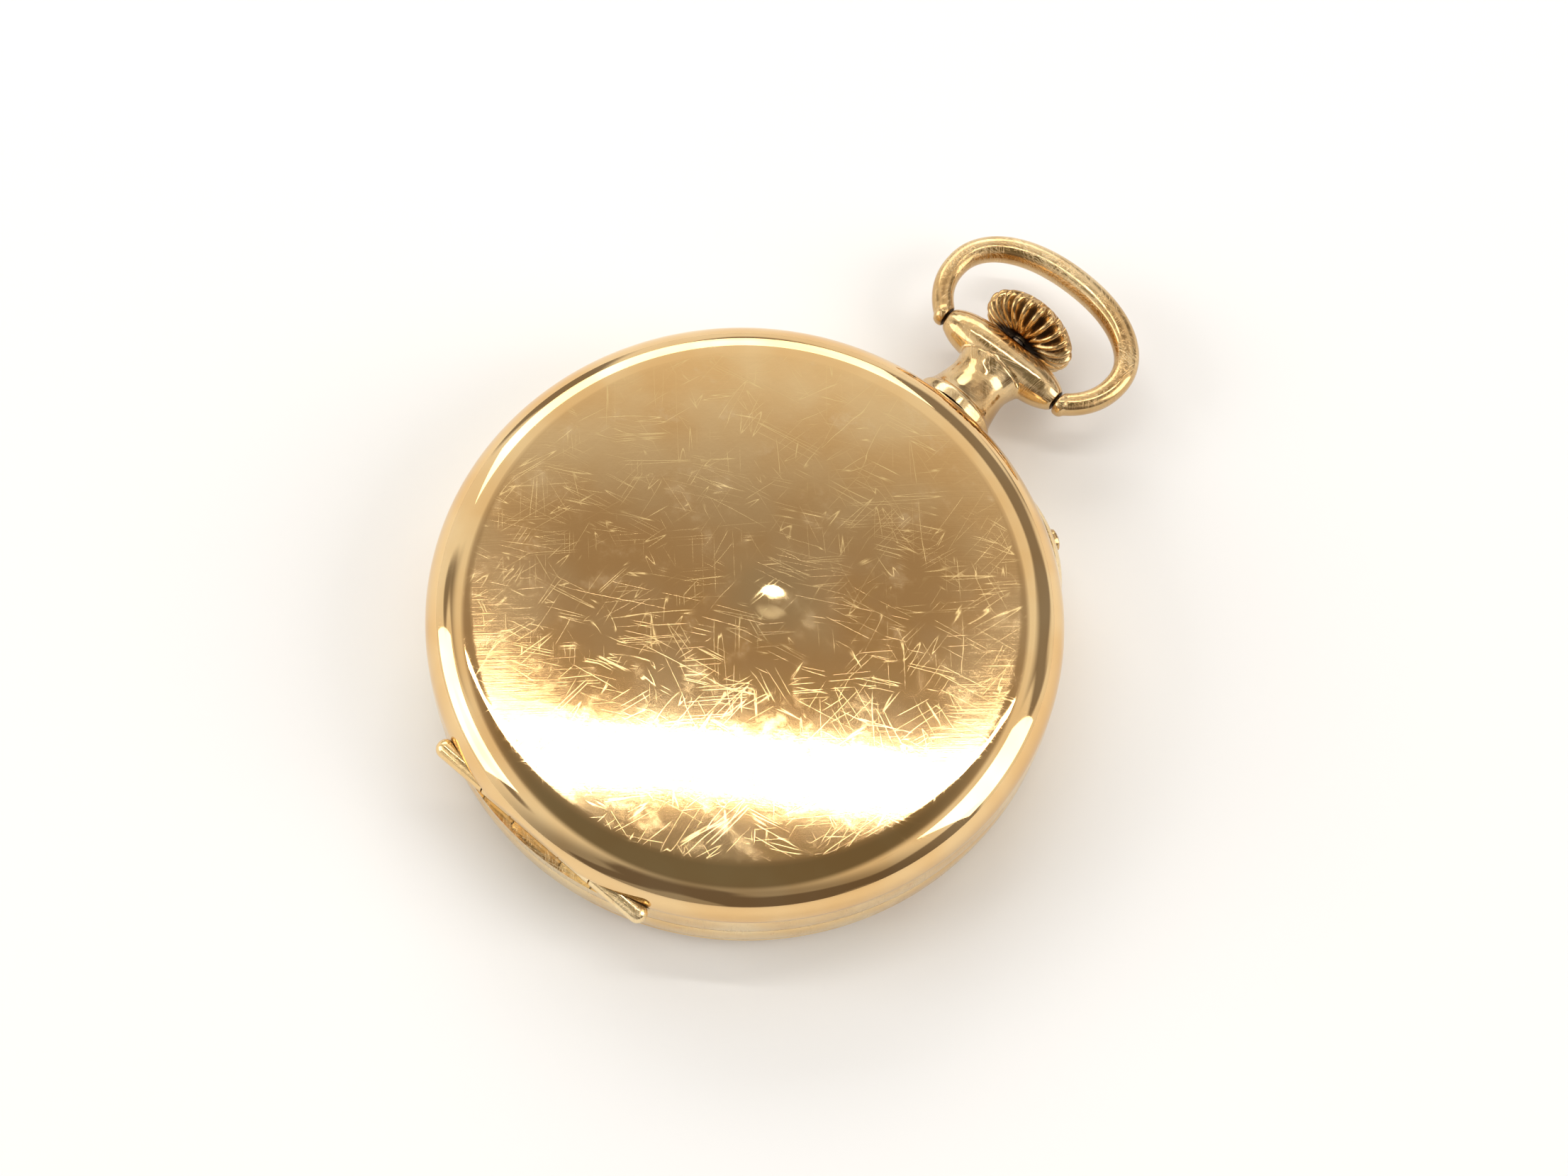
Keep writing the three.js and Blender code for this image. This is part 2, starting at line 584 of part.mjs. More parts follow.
// The back cover: a straight-walled rim that rounds over into a nearly flat disc
function coverProfile(inset) {
  const points = [];
  const arcSteps = 5;
  const radius = COVER_SHOULDER - inset;
  const height = COVER_HEIGHT - COVER_DOME - inset;
  for (let i = 0; i <= arcSteps; i += 1) {
    const angle = (Math.PI / 2) * (i / arcSteps);
    points.push([CASE_RADIUS - COVER_SHOULDER + radius * Math.cos(angle), SEAM_Z + height * Math.sin(angle)]);
  }
  points.push([(CASE_RADIUS - COVER_SHOULDER) * 0.5, SEAM_Z + height + COVER_DOME * 0.75]);
  points.push([0, SEAM_Z + height + COVER_DOME]);
  return points;
}

function backCover() {
  const outer = coverProfile(0);
  const inner = coverProfile(COVER_WALL);
  const shell = turned([...inner.reverse(), ...outer], ROUND);
  const trim = block(
    -CASE_RADIUS,
    CASE_RADIUS,
    -CASE_RADIUS - 1,
    HINGE_Y - COVER_TRIM,
    SEAM_Z - 1,
    COVER_TOP_Z + 1,
  );
  const relief = hingeCylinder(HINGE_CLEAR, -HINGE_HALF_LENGTH - 0.3, HINGE_HALF_LENGTH + 0.3);
  const below = block(
    -HINGE_HALF_LENGTH - 0.3,
    HINGE_HALF_LENGTH + 0.3,
    -CASE_RADIUS - 1,
    HINGE_Y + 0.1,
    SEAM_Z - 1,
    SEAM_Z + HINGE_CLEAR * 0.9,
  );
  const opened = cut(shell, trim, relief, below);
  const knuckle = hingeCylinder(HINGE_RADIUS, -COVER_KNUCKLE, COVER_KNUCKLE);
  const web = block(
    -COVER_KNUCKLE,
    COVER_KNUCKLE,
    HINGE_Y - HINGE_RADIUS * 0.7,
    HINGE_Y + HINGE_RADIUS * 0.5,
    SEAM_Z,
    SEAM_Z + HINGE_CLEAR + 0.9,
  );
  return cut(join(opened, web, knuckle), pinBore());
}

// The inner dust cover: a thin plate on the raised rim, with two knuckles between the others
function cuvette() {
  const radius = RIM_RADIUS - 0.05;
  const platePiece = turned(
    [
      [0, CUVETTE_Z],
      [radius, CUVETTE_Z],
      [radius, CUVETTE_Z + CUVETTE_THICKNESS * 0.6],
      [radius - 0.4, CUVETTE_Z + CUVETTE_THICKNESS],
      [0, CUVETTE_Z + CUVETTE_THICKNESS],
    ],
    ROUND,
  );
  const edge = HINGE_Y + HINGE_CLEAR + 0.2;
  const trimmed = cut(
    platePiece,
    block(-CASE_RADIUS, CASE_RADIUS, -CASE_RADIUS, edge, CUVETTE_Z - 1, CUVETTE_Z + 1),
  );
  const parts = [trimmed];
  for (const side of [-1, 1]) {
    const near = side * (COVER_KNUCKLE + KNUCKLE_GAP);
    const far = side * CUVETTE_KNUCKLE_END;
    const low = Math.min(near, far);
    const high = Math.max(near, far);
    parts.push(hingeCylinder(HINGE_RADIUS, low, high));
    parts.push(
      block(
        low,
        high,
        HINGE_Y + 0.35,
        HINGE_Y + HINGE_RADIUS,
        SEAM_Z + 0.3,
        CUVETTE_Z + CUVETTE_THICKNESS * 0.5,
      ),
    );
    parts.push(block(low, high, HINGE_Y + 0.35, edge + 0.4, CUVETTE_Z, CUVETTE_Z + CUVETTE_THICKNESS * 0.5));
  }
  return cut(join(...parts), pinBore());
}

function bezel() {
  const seat = CRYSTAL_RADIUS + SEAT_GAP;
  const crystalTop = CRYSTAL_THICKNESS + SEAT_GAP;
  const lipRadius = CRYSTAL_RADIUS - CRYSTAL_SEAT;
  const recessInner = BORE_RADIUS - 0.12;
  return turned(
    [
      [seat, BEZEL_Z],
      [CRYSTAL_RADIUS + 0.6, BEZEL_Z],
      [CASE_RADIUS - 1.8, BEZEL_Z + 0.15],
      [CASE_RADIUS - 0.9, BEZEL_Z + 0.45],
      [CASE_RADIUS - 0.4, BEZEL_Z + 0.9],
      [CASE_RADIUS - 0.2, BEZEL_Z + 1.3],
      [CASE_RADIUS - 0.3, BAND_Z - SEAT_GAP],
      [RIM_RADIUS + SEAT_GAP, BAND_Z - SEAT_GAP],
      [RIM_RADIUS + SEAT_GAP, BEZEL_RIM_Z - SEAT_GAP],
      [recessInner, BEZEL_RIM_Z - SEAT_GAP],
      [recessInner, DIAL_Z - HAND_GAP],
      [lipRadius + 0.3, DIAL_Z - HAND_GAP],
      [lipRadius, DIAL_Z - HAND_GAP - 0.4],
      [lipRadius, crystalTop],
      [seat, crystalTop],
    ],
    ROUND,
  );
}

function crystal() {
  return turned(
    [
      [0, 0],
      [CRYSTAL_RADIUS - 0.8, 0],
      [CRYSTAL_RADIUS - 0.1, CRYSTAL_PROUD * 0.7],
      [CRYSTAL_RADIUS - 0.03, CRYSTAL_PROUD],
      [CRYSTAL_RADIUS - 0.03, CRYSTAL_THICKNESS],
      [0, CRYSTAL_THICKNESS],
    ],
    ROUND,
  );
}

function settingPin() {
  const outer = CASE_RADIUS + OLIVETTE_PROUD + SETTING_PIN_PROUD;
  const inner = MOVEMENT_RADIUS + SETTING_PIN_TRAVEL + STACK_GAP;
  const geometry = turnedGeometry(
    [
      [0, inner],
      [SETTING_PIN_RADIUS, inner],
      [SETTING_PIN_RADIUS, outer - 0.3],
      [SETTING_PIN_RADIUS * 0.7, outer],
      [0, outer],
    ],
    SMALL_ROUND,
  );
  geometry.rotateY(Math.PI / 2).rotateZ(THREE.MathUtils.degToRad(OLIVETTE_ANGLE));
  return solid(geometry.translate(0, 0, STEM_Z));
}

// ---------------------------------------------------------------- pendant, crown and bow

const HEAD_Y = CASE_RADIUS + HEAD_REACH;
const BOW_Y = HEAD_Y;
const CROWN_Y = HEAD_Y + HEAD_RADIUS + CROWN_GAP;

function pendant() {
  const neckY = CASE_RADIUS + NECK_LENGTH;
  const neck = turnedAlongY(
    [
      [0, CASE_RADIUS - 1],
      [NECK_BASE_RADIUS, CASE_RADIUS - 1],
      [NECK_BASE_RADIUS, CASE_RADIUS + NECK_BASE_HEIGHT],
      [NECK_BASE_RADIUS - 0.35, CASE_RADIUS + NECK_BASE_HEIGHT + 0.35],
      [NECK_RADIUS + 0.15, CASE_RADIUS + NECK_BASE_HEIGHT + 1.3],
      [NECK_RADIUS, neckY],
      [NECK_RADIUS + 0.3, HEAD_Y - HEAD_RADIUS],
      [0, HEAD_Y],
    ],
    STEM_Z,
    24,
  );
  const half = [
    [HEAD_RADIUS, 0],
    [HEAD_RADIUS * 0.97, HEAD_HALF_LENGTH * 0.45],
    [HEAD_RADIUS * 0.87, HEAD_HALF_LENGTH * 0.7],
    [HEAD_RADIUS * 0.71, HEAD_HALF_LENGTH * 0.85],
    [HEAD_RADIUS * 0.48, HEAD_HALF_LENGTH],
  ];
  const head = turnedAlongX(
    [
      [0, -HEAD_HALF_LENGTH],
      ...half.slice(1).reverse().map(([r, x]) => [r, -x]),
      ...half,
      [0, HEAD_HALF_LENGTH],
    ],
    HEAD_Y,
    STEM_Z,
    SMALL_ROUND,
  );
  const round = disc(CASE_RADIUS + 0.12, BEZEL_Z - 5, COVER_TOP_Z + 5, ROUND);
  const pipeTop = HEAD_Y;
  const pipe = turnedAlongY(
    [
      [0, LEDGE_RADIUS + LEDGE_WIDTH],
      [PENDANT_TUBE_RADIUS, LEDGE_RADIUS + LEDGE_WIDTH],
      [PENDANT_TUBE_RADIUS, pipeTop],
      [0, pipeTop],
    ],
    STEM_Z,
    SMALL_ROUND,
  );
  const bore = turnedAlongY(
    [
      [0, 0],
      [PENDANT_BORE_RADIUS, 0],
      [PENDANT_BORE_RADIUS, CROWN_Y],
      [0, CROWN_Y],
    ],
    STEM_Z,
    SMALL_ROUND,
  );
  const pinHole = holeRadius(BOW_PIN_RADIUS, TURNING_GAP, TINY_ROUND);
  const eyes = [-1, 1].map((side) =>
    turnedAlongX(
      [
        [0, side * (HEAD_HALF_LENGTH - BOW_PIN_LENGTH - 0.2)],
        [pinHole, side * (HEAD_HALF_LENGTH - BOW_PIN_LENGTH - 0.2)],
        [pinHole, side * (HEAD_HALF_LENGTH + 1)],
        [0, side * (HEAD_HALF_LENGTH + 1)],
      ],
      HEAD_Y,
      STEM_Z,
      TINY_ROUND,
    ),
  );
  return cut(join(cut(join(neck, head), round), pipe), bore, ...eyes);
}

// The crown: a domed button that flares from a narrow collar, ribbed all round
function crown() {
  const rib = 3;
  const profile = [
    [0, CROWN_Y],
    [CROWN_RADIUS * 0.4, CROWN_Y],
    [CROWN_RADIUS * 0.77, CROWN_Y + CROWN_HEIGHT * 0.14],
    [CROWN_RADIUS * 0.97, CROWN_Y + CROWN_HEIGHT * 0.33],
    [CROWN_RADIUS, CROWN_Y + CROWN_HEIGHT * 0.47],
    [CROWN_RADIUS * 0.88, CROWN_Y + CROWN_HEIGHT * 0.74],
    [CROWN_RADIUS * 0.45, CROWN_Y + CROWN_HEIGHT * 0.96],
    [0, CROWN_Y + CROWN_HEIGHT],
  ];
  const geometry = turnedGeometry(profile, CROWN_RIBS * rib);
  const position = geometry.attributes.position;
  for (let i = 0; i < position.count; i += 1) {
    const x = position.getX(i);
    const y = position.getY(i);
    const radius = Math.hypot(x, y);
    if (radius > CROWN_RADIUS * 0.6) {
      const wave = (1 - Math.cos(CROWN_RIBS * Math.atan2(y, x))) / 2;
      const shrink = 1 - (CROWN_RIB_DEPTH * wave) / CROWN_RADIUS;
      position.setXY(i, x * shrink, y * shrink);
    }
  }
  const body = solid(geometry.rotateX(-Math.PI / 2).translate(0, 0, STEM_Z));
  const socket = turnedAlongY(
    [
      [0, CROWN_Y],
      [holeRadius(STEM_RADIUS, SEAT_GAP, SMALL_ROUND), CROWN_Y],
      [holeRadius(STEM_RADIUS, SEAT_GAP, SMALL_ROUND), CROWN_Y + CROWN_HEIGHT * 0.7],
      [0, CROWN_Y + CROWN_HEIGHT * 0.7],
    ],
    STEM_Z,
    SMALL_ROUND,
  );
  return cut(body, socket);
}

// The bow's middle line: a flattened oval, open where its ends meet the pendant's head
class BowLine extends THREE.Curve {
  getPoint(t, target = new THREE.Vector3()) {
    const endAngle = Math.asin((BOW_WIDEST / BOW_LOWER_HEIGHT) ** (BOW_POWER / 2));
    const angle = -endAngle + t * (Math.PI + 2 * endAngle);
    const across = Math.sign(Math.cos(angle)) * Math.abs(Math.cos(angle)) ** (2 / BOW_POWER);
    const up = Math.sign(Math.sin(angle)) * Math.abs(Math.sin(angle)) ** (2 / BOW_POWER);
    const height = up > 0 ? BOW_RISE - BOW_WIDEST : BOW_LOWER_HEIGHT;
    return target.set(BOW_HALF_WIDTH * across, BOW_Y + BOW_WIDEST + height * up, 0);
  }
}

function bow() {
  const section = new THREE.Shape();
  const sides = 8;
  for (let i = 0; i < sides; i += 1) {
    const angle = (2 * Math.PI * i) / sides;
    const x = BOW_WIRE_DEPTH * Math.cos(angle);
    const y = BOW_WIRE * Math.sin(angle);
    if (i === 0) section.moveTo(x, y);
    else section.lineTo(x, y);
  }
  section.closePath();
  const along = { steps: 24, bevelEnabled: false, extrudePath: new BowLine() };
  const wire = new THREE.ExtrudeGeometry(section, along);
  const inside = HEAD_HALF_LENGTH + KNUCKLE_GAP;
  const room = 2 * BOW_WIRE;
  const opening = block(-inside, inside, BOW_Y - room, BOW_Y + room, STEM_Z - room, STEM_Z + room);
  const parts = [cut(solid(wire.translate(0, 0, STEM_Z)), opening)];
  const end = new BowLine().getPoint(0);
  for (const side of [-1, 1]) {
    const knobProfile = [
      [0, HEAD_HALF_LENGTH + KNUCKLE_GAP],
      [BOW_WIRE * 0.8, HEAD_HALF_LENGTH + KNUCKLE_GAP],
      [BOW_WIRE * 0.95, HEAD_HALF_LENGTH + KNUCKLE_GAP + 0.2],
      [BOW_WIRE * 0.95, end.x + 0.4],
      [BOW_WIRE * 0.6, end.x + 0.8],
      [0, end.x + 0.9],
    ];
    const pinProfile = [
      [0, HEAD_HALF_LENGTH - BOW_PIN_LENGTH],
      [BOW_PIN_RADIUS, HEAD_HALF_LENGTH - BOW_PIN_LENGTH],
      [BOW_PIN_RADIUS, HEAD_HALF_LENGTH + 0.6],
      [0, HEAD_HALF_LENGTH + 0.6],
    ];
    for (const profile of [knobProfile, pinProfile]) {
      parts.push(
        turnedAlongX(
          profile.map(([r, x]) => [r, side * x]),
          HEAD_Y,
          STEM_Z,
          TINY_ROUND,
        ),
      );
    }
  }
  return join(...parts);
}

// ---------------------------------------------------------------- keyless work

const STEM_INNER_Y = CROWN_WHEEL.y - 1.5;
const PINION_Y0 = CROWN_WHEEL.y + CONTRATE_RADIUS - 0.55;
const PINION_Y1 = PINION_Y0 + 1.3;
const CONTRATE_TOOTH = 0.3;
const CONTRATE_Z = STEM_Z + WINDING_PINION_RADIUS + 0.2;

function windingStem() {
  return turnedAlongY(
    [
      [0, STEM_INNER_Y],
      [STEM_RADIUS * 0.7, STEM_INNER_Y],
      [STEM_RADIUS * 0.7, STEM_INNER_Y + 1],
      [STEM_RADIUS, STEM_INNER_Y + 1],
      [STEM_RADIUS, CROWN_Y + CROWN_HEIGHT * 0.6],
      [0, CROWN_Y + CROWN_HEIGHT * 0.6],
    ],
    STEM_Z,
    TINY_ROUND,
  );
}

// A pinion on the stem, its leaves along Y
function stemPinion(leaves, tip, root, y0, y1, phase = 0) {
  const bore = holeRadius(STEM_RADIUS, SEAT_GAP, TINY_ROUND);
  const shape = pierce(toothedShape(leaves, tip, root, 0.15, 0.45, phase), bore);
  const geometry = plateGeometry(shape, y0, y1).rotateX(-Math.PI / 2);
  return solid(geometry.translate(0, 0, STEM_Z));
}

// The contrate wheel under the barrel bridge: a disc with teeth on its lower face, on its own arbor
function contrateWheel() {
  const outer = CONTRATE_RADIUS + CONTRATE_HALF_FACE;
  const inner = CONTRATE_RADIUS - CONTRATE_HALF_FACE;
  const wheel = disc(outer, CONTRATE_Z, CONTRATE_Z + 0.25, 26);
  const arbor = disc(0.8, CONTRATE_Z, RATCHET_TOP_Z + 0.05, SMALL_ROUND);
  const parts = [wheel, arbor];
  const half = (Math.PI * CONTRATE_RADIUS * 0.32) / CONTRATE_TEETH;
  for (let i = 0; i < CONTRATE_TEETH; i += 1) {
    const shape = new THREE.Shape();
    shape.moveTo(-half, 0.05);
    shape.lineTo(-0.06, -CONTRATE_TOOTH);
    shape.lineTo(0.06, -CONTRATE_TOOTH);
    shape.lineTo(half, 0.05);
    shape.closePath();
    const tooth = plateGeometry(shape, inner, outer - 0.06);
    tooth.rotateX(Math.PI / 2).translate(0, 0, CONTRATE_Z);
    parts.push(solid(tooth.rotateZ((2 * Math.PI * i) / CONTRATE_TEETH)));
  }
  return join(...parts);
}

// ---------------------------------------------------------------- movement plates

const RECESS_GAP = 0.3;
const BARREL_TIP = (BARREL_TEETH / 2 + WHEEL_ADDENDUM) * BARREL_MODULE;
const RATCHET_TIP = (RATCHET_TEETH / 2 + WHEEL_ADDENDUM) * RATCHET_MODULE;
const BALANCE_CLEAR = BALANCE_RADIUS + 0.35;
const PIVOT_HOLE = holeRadius(PIVOT_RADIUS, TURNING_GAP, TINY_ROUND);

const pivotHole = (place, z0, z1) => discAt(place, PIVOT_HOLE, z0, z1, TINY_ROUND);
const jewelSeat = (place, z0, z1) => discAt(place, holeRadius(JEWEL_RADIUS, SEAT_GAP, SMALL_ROUND), z0, z1);

const CASE_SCREWS = [polar(MOVEMENT_RADIUS - 1.4, 20), polar(MOVEMENT_RADIUS - 1.4, 178)];
const BARREL_BRIDGE_SCREWS = [polar(MOVEMENT_RADIUS - 2.3, 58), polar(MOVEMENT_RADIUS - 2.3, 108)];
const TRAIN_BRIDGE_SCREWS = [polar(MOVEMENT_RADIUS - 2.3, 0), polar(MOVEMENT_RADIUS - 2.3, -78)];
const COCK_FOOT_RADIUS = MOVEMENT_RADIUS * 0.0922;
const COCK_FOOT = polar(LEDGE_RADIUS - COCK_FOOT_RADIUS - 0.15, -116);
const PALLET_FOOT = PALLET.clone().add(polar(ESCAPE_RADIUS * 0.62 + 1.9, 225));

const PALLET_SCREW_RADIUS = 0.3;
const CLICK_LENGTH = MOVEMENT_RADIUS * 0.0922;
const CLICK_LEAN = 0.75;            // radians off the line to the ratchet's centre
const CLICK = BARREL.clone().add(polar(RATCHET_TIP + CLICK_LENGTH * 0.921, -18));

const screwHole = (place, z0, z1) =>
  discAt(place, holeRadius(SCREW_RADIUS, SEAT_GAP, TINY_ROUND), z0, z1, TINY_ROUND);

function mainPlate() {
  const low = PLATE_Z - 1;
  const high = PLATE_TOP_Z + 1;
  const body = disc(MOVEMENT_RADIUS, PLATE_Z, PLATE_TOP_Z, ROUND);
  const barrelRecess = discAt(BARREL, BARREL_TIP + RECESS_GAP, BARREL_Z - BARREL_CLEAR, high, 24);
  const stemChannel = block(
    -STEM_RADIUS - 0.2,
    STEM_RADIUS + 0.2,
    STEM_INNER_Y - 0.5,
    MOVEMENT_RADIUS + 1,
    STEM_Z - STEM_RADIUS - 0.2,
    high,
  );
  const pinionRoom = block(
    -WINDING_PINION_RADIUS - 0.5,
    WINDING_PINION_RADIUS + 0.5,
    STEM_INNER_Y + 0.6,
    PINION_Y1 + 0.3,
    low,
    high,
  );
  const holes = [
    pivotHole(THIRD, low, high),
    pivotHole(ESCAPE, low, high),
    pivotHole(PALLET, low, high),
    discAt(BALANCE, holeRadius(JEWEL_RADIUS, SEAT_GAP, SMALL_ROUND), low, high),
    discAt(FOURTH, holeRadius(PIVOT_RADIUS, TURNING_GAP, TINY_ROUND), low, high, TINY_ROUND),
    discAt(CENTRE, holeRadius(ARBOR_RADIUS, TURNING_GAP, SMALL_ROUND), low, high),
    discAt(BARREL, holeRadius(0.5, TURNING_GAP, TINY_ROUND), low, high, TINY_ROUND),
    discAt(MINUTE_WHEEL, holeRadius(0.3, SEAT_GAP, TINY_ROUND), low, PLATE_Z + 0.8, TINY_ROUND),
    ...[...CASE_SCREWS, ...BARREL_BRIDGE_SCREWS, ...TRAIN_BRIDGE_SCREWS, COCK_FOOT].map((place) =>
      screwHole(place, low, high),
    ),
    discAt(PALLET_FOOT, holeRadius(PALLET_SCREW_RADIUS, SEAT_GAP, TINY_ROUND), low, high, TINY_ROUND),
  ];
  return cut(body, barrelRecess, stemChannel, pinionRoom, ...holes);
}

// Circle sector that a bridge is cut from, with its foot along the plate's rim
function bridge(startDegrees, endDegrees, outline, footSpans) {
  const outer = LEDGE_RADIUS - 0.15;
  const footInner = outer - 2.2;
  const shape = new THREE.Shape();
  const steps = 14;
  for (let i = 0; i <= steps; i += 1) {
    const point = polar(outer, startDegrees + ((endDegrees - startDegrees) * i) / steps);
    if (i === 0) shape.moveTo(point.x, point.y);
    else shape.lineTo(point.x, point.y);
  }
  outline.forEach((point) => shape.lineTo(point.x, point.y));
  shape.closePath();
  const top = plate(shape, BRIDGE_Z, BRIDGE_TOP_Z);
  const feet = footSpans.map(([from, to]) => {
    const foot = new THREE.Shape();
    const footSteps = 5;
    for (let i = 0; i <= footSteps; i += 1) {
      const point = polar(outer, from + ((to - from) * i) / footSteps);
      if (i === 0) foot.moveTo(point.x, point.y);
      else foot.lineTo(point.x, point.y);
    }
    for (let i = footSteps; i >= 0; i -= 1) {
      const point = polar(footInner, from + ((to - from) * i) / footSteps);
      foot.lineTo(point.x, point.y);
    }
    foot.closePath();
    return plate(foot, PLATE_TOP_Z + SEAT_GAP, BRIDGE_Z + 0.01);
  });
  return join(top, ...feet);
}

// The room that the balance's rim sweeps through, cut out of the bridges
const balanceSweep = () => discAt(BALANCE, BALANCE_CLEAR, PLATE_TOP_Z, COCK_Z + 2, 28);

function barrelBridge() {
  const outline = [polar(9, 172), polar(4.6, 105), polar(4.9, 62), polar(10.5, 32)];
  const body = bridge(30, 172, outline, [[34, 72], [100, 122], [160, 170]]);
  return cut(
    body,
    balanceSweep(),
    discAt(CROWN_WHEEL, CONTRATE_RADIUS + CONTRATE_HALF_FACE + 0.15, PLATE_TOP_Z, BRIDGE_Z, 26),
    discAt(CASE_SCREWS[0], 2, PLATE_TOP_Z, BRIDGE_TOP_Z + 1),
    discAt(CASE_SCREWS[1], 1.6, PLATE_TOP_Z, BRIDGE_TOP_Z + 1),
    discAt(BARREL, holeRadius(0.9, TURNING_GAP, SMALL_ROUND), BRIDGE_Z - 1, BRIDGE_TOP_Z + 1),
    discAt(CROWN_WHEEL, holeRadius(0.8, TURNING_GAP, SMALL_ROUND), BRIDGE_Z - 1, BRIDGE_TOP_Z + 1),
    ...BARREL_BRIDGE_SCREWS.map((place) => screwHole(place, PLATE_TOP_Z, BRIDGE_TOP_Z + 1)),
    screwHole(CLICK, BRIDGE_Z - 1, BRIDGE_TOP_Z + 1),
  );
}

function trainBridge() {
  const outline = [polar(9.2, 20), polar(3.4, 50), polar(3.2, 150), polar(4.2, 200), polar(17, 246)];
  const body = bridge(-109, 16, outline, [[-14, 12], [-92, -66]]);
  return cut(
    body,
    balanceSweep(),
    discAt(COCK_FOOT, COCK_FOOT_RADIUS + 0.3, PLATE_TOP_Z, BRIDGE_TOP_Z + 1),
    discAt(CLICK, SCREW_RADIUS + 0.3, PLATE_TOP_Z, BRIDGE_TOP_Z + 1),
    discAt(CASE_SCREWS[0], 1.6, PLATE_TOP_Z, BRIDGE_TOP_Z + 1),
    jewelSeat(CENTRE, BRIDGE_Z - 1, BRIDGE_TOP_Z + 1),
    jewelSeat(THIRD, BRIDGE_Z - 1, BRIDGE_TOP_Z + 1),
    jewelSeat(FOURTH, BRIDGE_Z - 1, BRIDGE_TOP_Z + 1),
    jewelSeat(ESCAPE, BRIDGE_Z - 1, BRIDGE_TOP_Z + 1),
    ...TRAIN_BRIDGE_SCREWS.map((place) => screwHole(place, PLATE_TOP_Z, BRIDGE_TOP_Z + 1)),
  );
}

function balanceCock() {
  const arm = plate(strap(COCK_FOOT, COCK_FOOT_RADIUS, BALANCE, 2.2), COCK_Z, COCK_Z + COCK_THICKNESS);
  const foot = discAt(COCK_FOOT, COCK_FOOT_RADIUS, PLATE_TOP_Z + SEAT_GAP, COCK_Z + 0.01);
  return cut(
    join(arm, foot),
    screwHole(COCK_FOOT, PLATE_TOP_Z - 1, COCK_Z + 2),
    jewelSeat(BALANCE, COCK_Z - 1, COCK_Z + 2),
  );
}

const PALLET_COCK_Z = ESCAPE_Z + WHEEL_THICKNESS + 0.35;

function palletCock() {
  const arm = plate(strap(PALLET_FOOT, 1.1, PALLET, 0.9, 6), PALLET_COCK_Z, PALLET_COCK_Z + 0.3);
  const foot = discAt(PALLET_FOOT, 1.1, PLATE_TOP_Z + SEAT_GAP, PALLET_COCK_Z + 0.01);
  const footHole = holeRadius(PALLET_SCREW_RADIUS, SEAT_GAP, TINY_ROUND);
  return cut(
    join(arm, foot),
    pivotHole(PALLET, PALLET_COCK_Z - 1, PALLET_COCK_Z + 1),
    discAt(PALLET_FOOT, footHole, PLATE_TOP_Z - 1, PALLET_COCK_Z + 1, TINY_ROUND),
  );
}

// A jewel with its pivot hole, about its own axis
const jewel = (z0) => tube(PIVOT_HOLE, JEWEL_RADIUS, z0, z0 + JEWEL_THICKNESS);

// A screw: shank and slotted head
function screw(z0, headZ, shank = SCREW_RADIUS, head = SCREW_HEAD_RADIUS) {
  const body = turned(
    [
      [0, z0],
      [shank, z0],
      [shank, headZ],
      [head, headZ],
      [head, headZ + SCREW_HEAD_HEIGHT],
      [0, headZ + SCREW_HEAD_HEIGHT],
    ],
    8,
  );
  const slotDepth = SCREW_HEAD_HEIGHT * 0.45;
  const slotHalf = head * 0.13;
  return cut(body, block(-2, 2, -slotHalf, slotHalf, headZ + SCREW_HEAD_HEIGHT - slotDepth, headZ + 2));
}

// ---------------------------------------------------------------- barrel and ratchet

const BARREL_DRUM_RADIUS = BARREL_TIP - 2.3 * BARREL_MODULE - 0.05;
const BARREL_LID_Z = BARREL_Z + BARREL_HEIGHT - 0.25;
const BARREL_WALL = 0.4;
const BARREL_TEETH_Z = THIRD_Z - 0.1;

function barrel() {
  const teeth = plate(wheelShape(BARREL_TEETH, BARREL_MODULE, 0), BARREL_TEETH_Z, BARREL_TEETH_Z + 0.4);
  const drum = disc(BARREL_DRUM_RADIUS, BARREL_Z, BARREL_Z + BARREL_HEIGHT, 24);
  return cut(
    join(teeth, drum),
    disc(BARREL_DRUM_RADIUS - BARREL_WALL, BARREL_Z + 0.25, BARREL_Z + 3, 24),
    hole(0.5, TURNING_GAP, BARREL_Z - 1, BARREL_Z + 1, TINY_ROUND),
  );
}


function barrelLid() {
  const radius = BARREL_DRUM_RADIUS - BARREL_WALL - SEAT_GAP - 0.05;
  return tube(holeRadius(0.9, TURNING_GAP, SMALL_ROUND), radius, BARREL_LID_Z, BARREL_LID_Z + 0.22, 24);
}

function barrelArbor() {
  return turned(
    [
      [0, PLATE_Z + 0.2],
      [0.5, PLATE_Z + 0.2],
      [0.5, BARREL_Z + 0.33],
      [1.5, BARREL_Z + 0.33],
      [1.5, BARREL_LID_Z - 0.08],
      [0.9, BARREL_LID_Z - 0.08],
      [0.9, RATCHET_TOP_Z],
      [0, RATCHET_TOP_Z],
    ],
    SMALL_ROUND,
  );
}

// The mainspring: a flat ribbon wound on a spiral, held at the drum's wall
class Spiral extends THREE.Curve {
  constructor(inner, outer, turns) {
    super();
    this.inner = inner;
    this.outer = outer;
    this.turns = turns;
  }

  getPoint(t, target = new THREE.Vector3()) {
    const radius = this.inner + (this.outer - this.inner) * t;
    const angle = 2 * Math.PI * this.turns * t;
    return target.set(radius * Math.cos(angle), radius * Math.sin(angle), 0);
  }
}

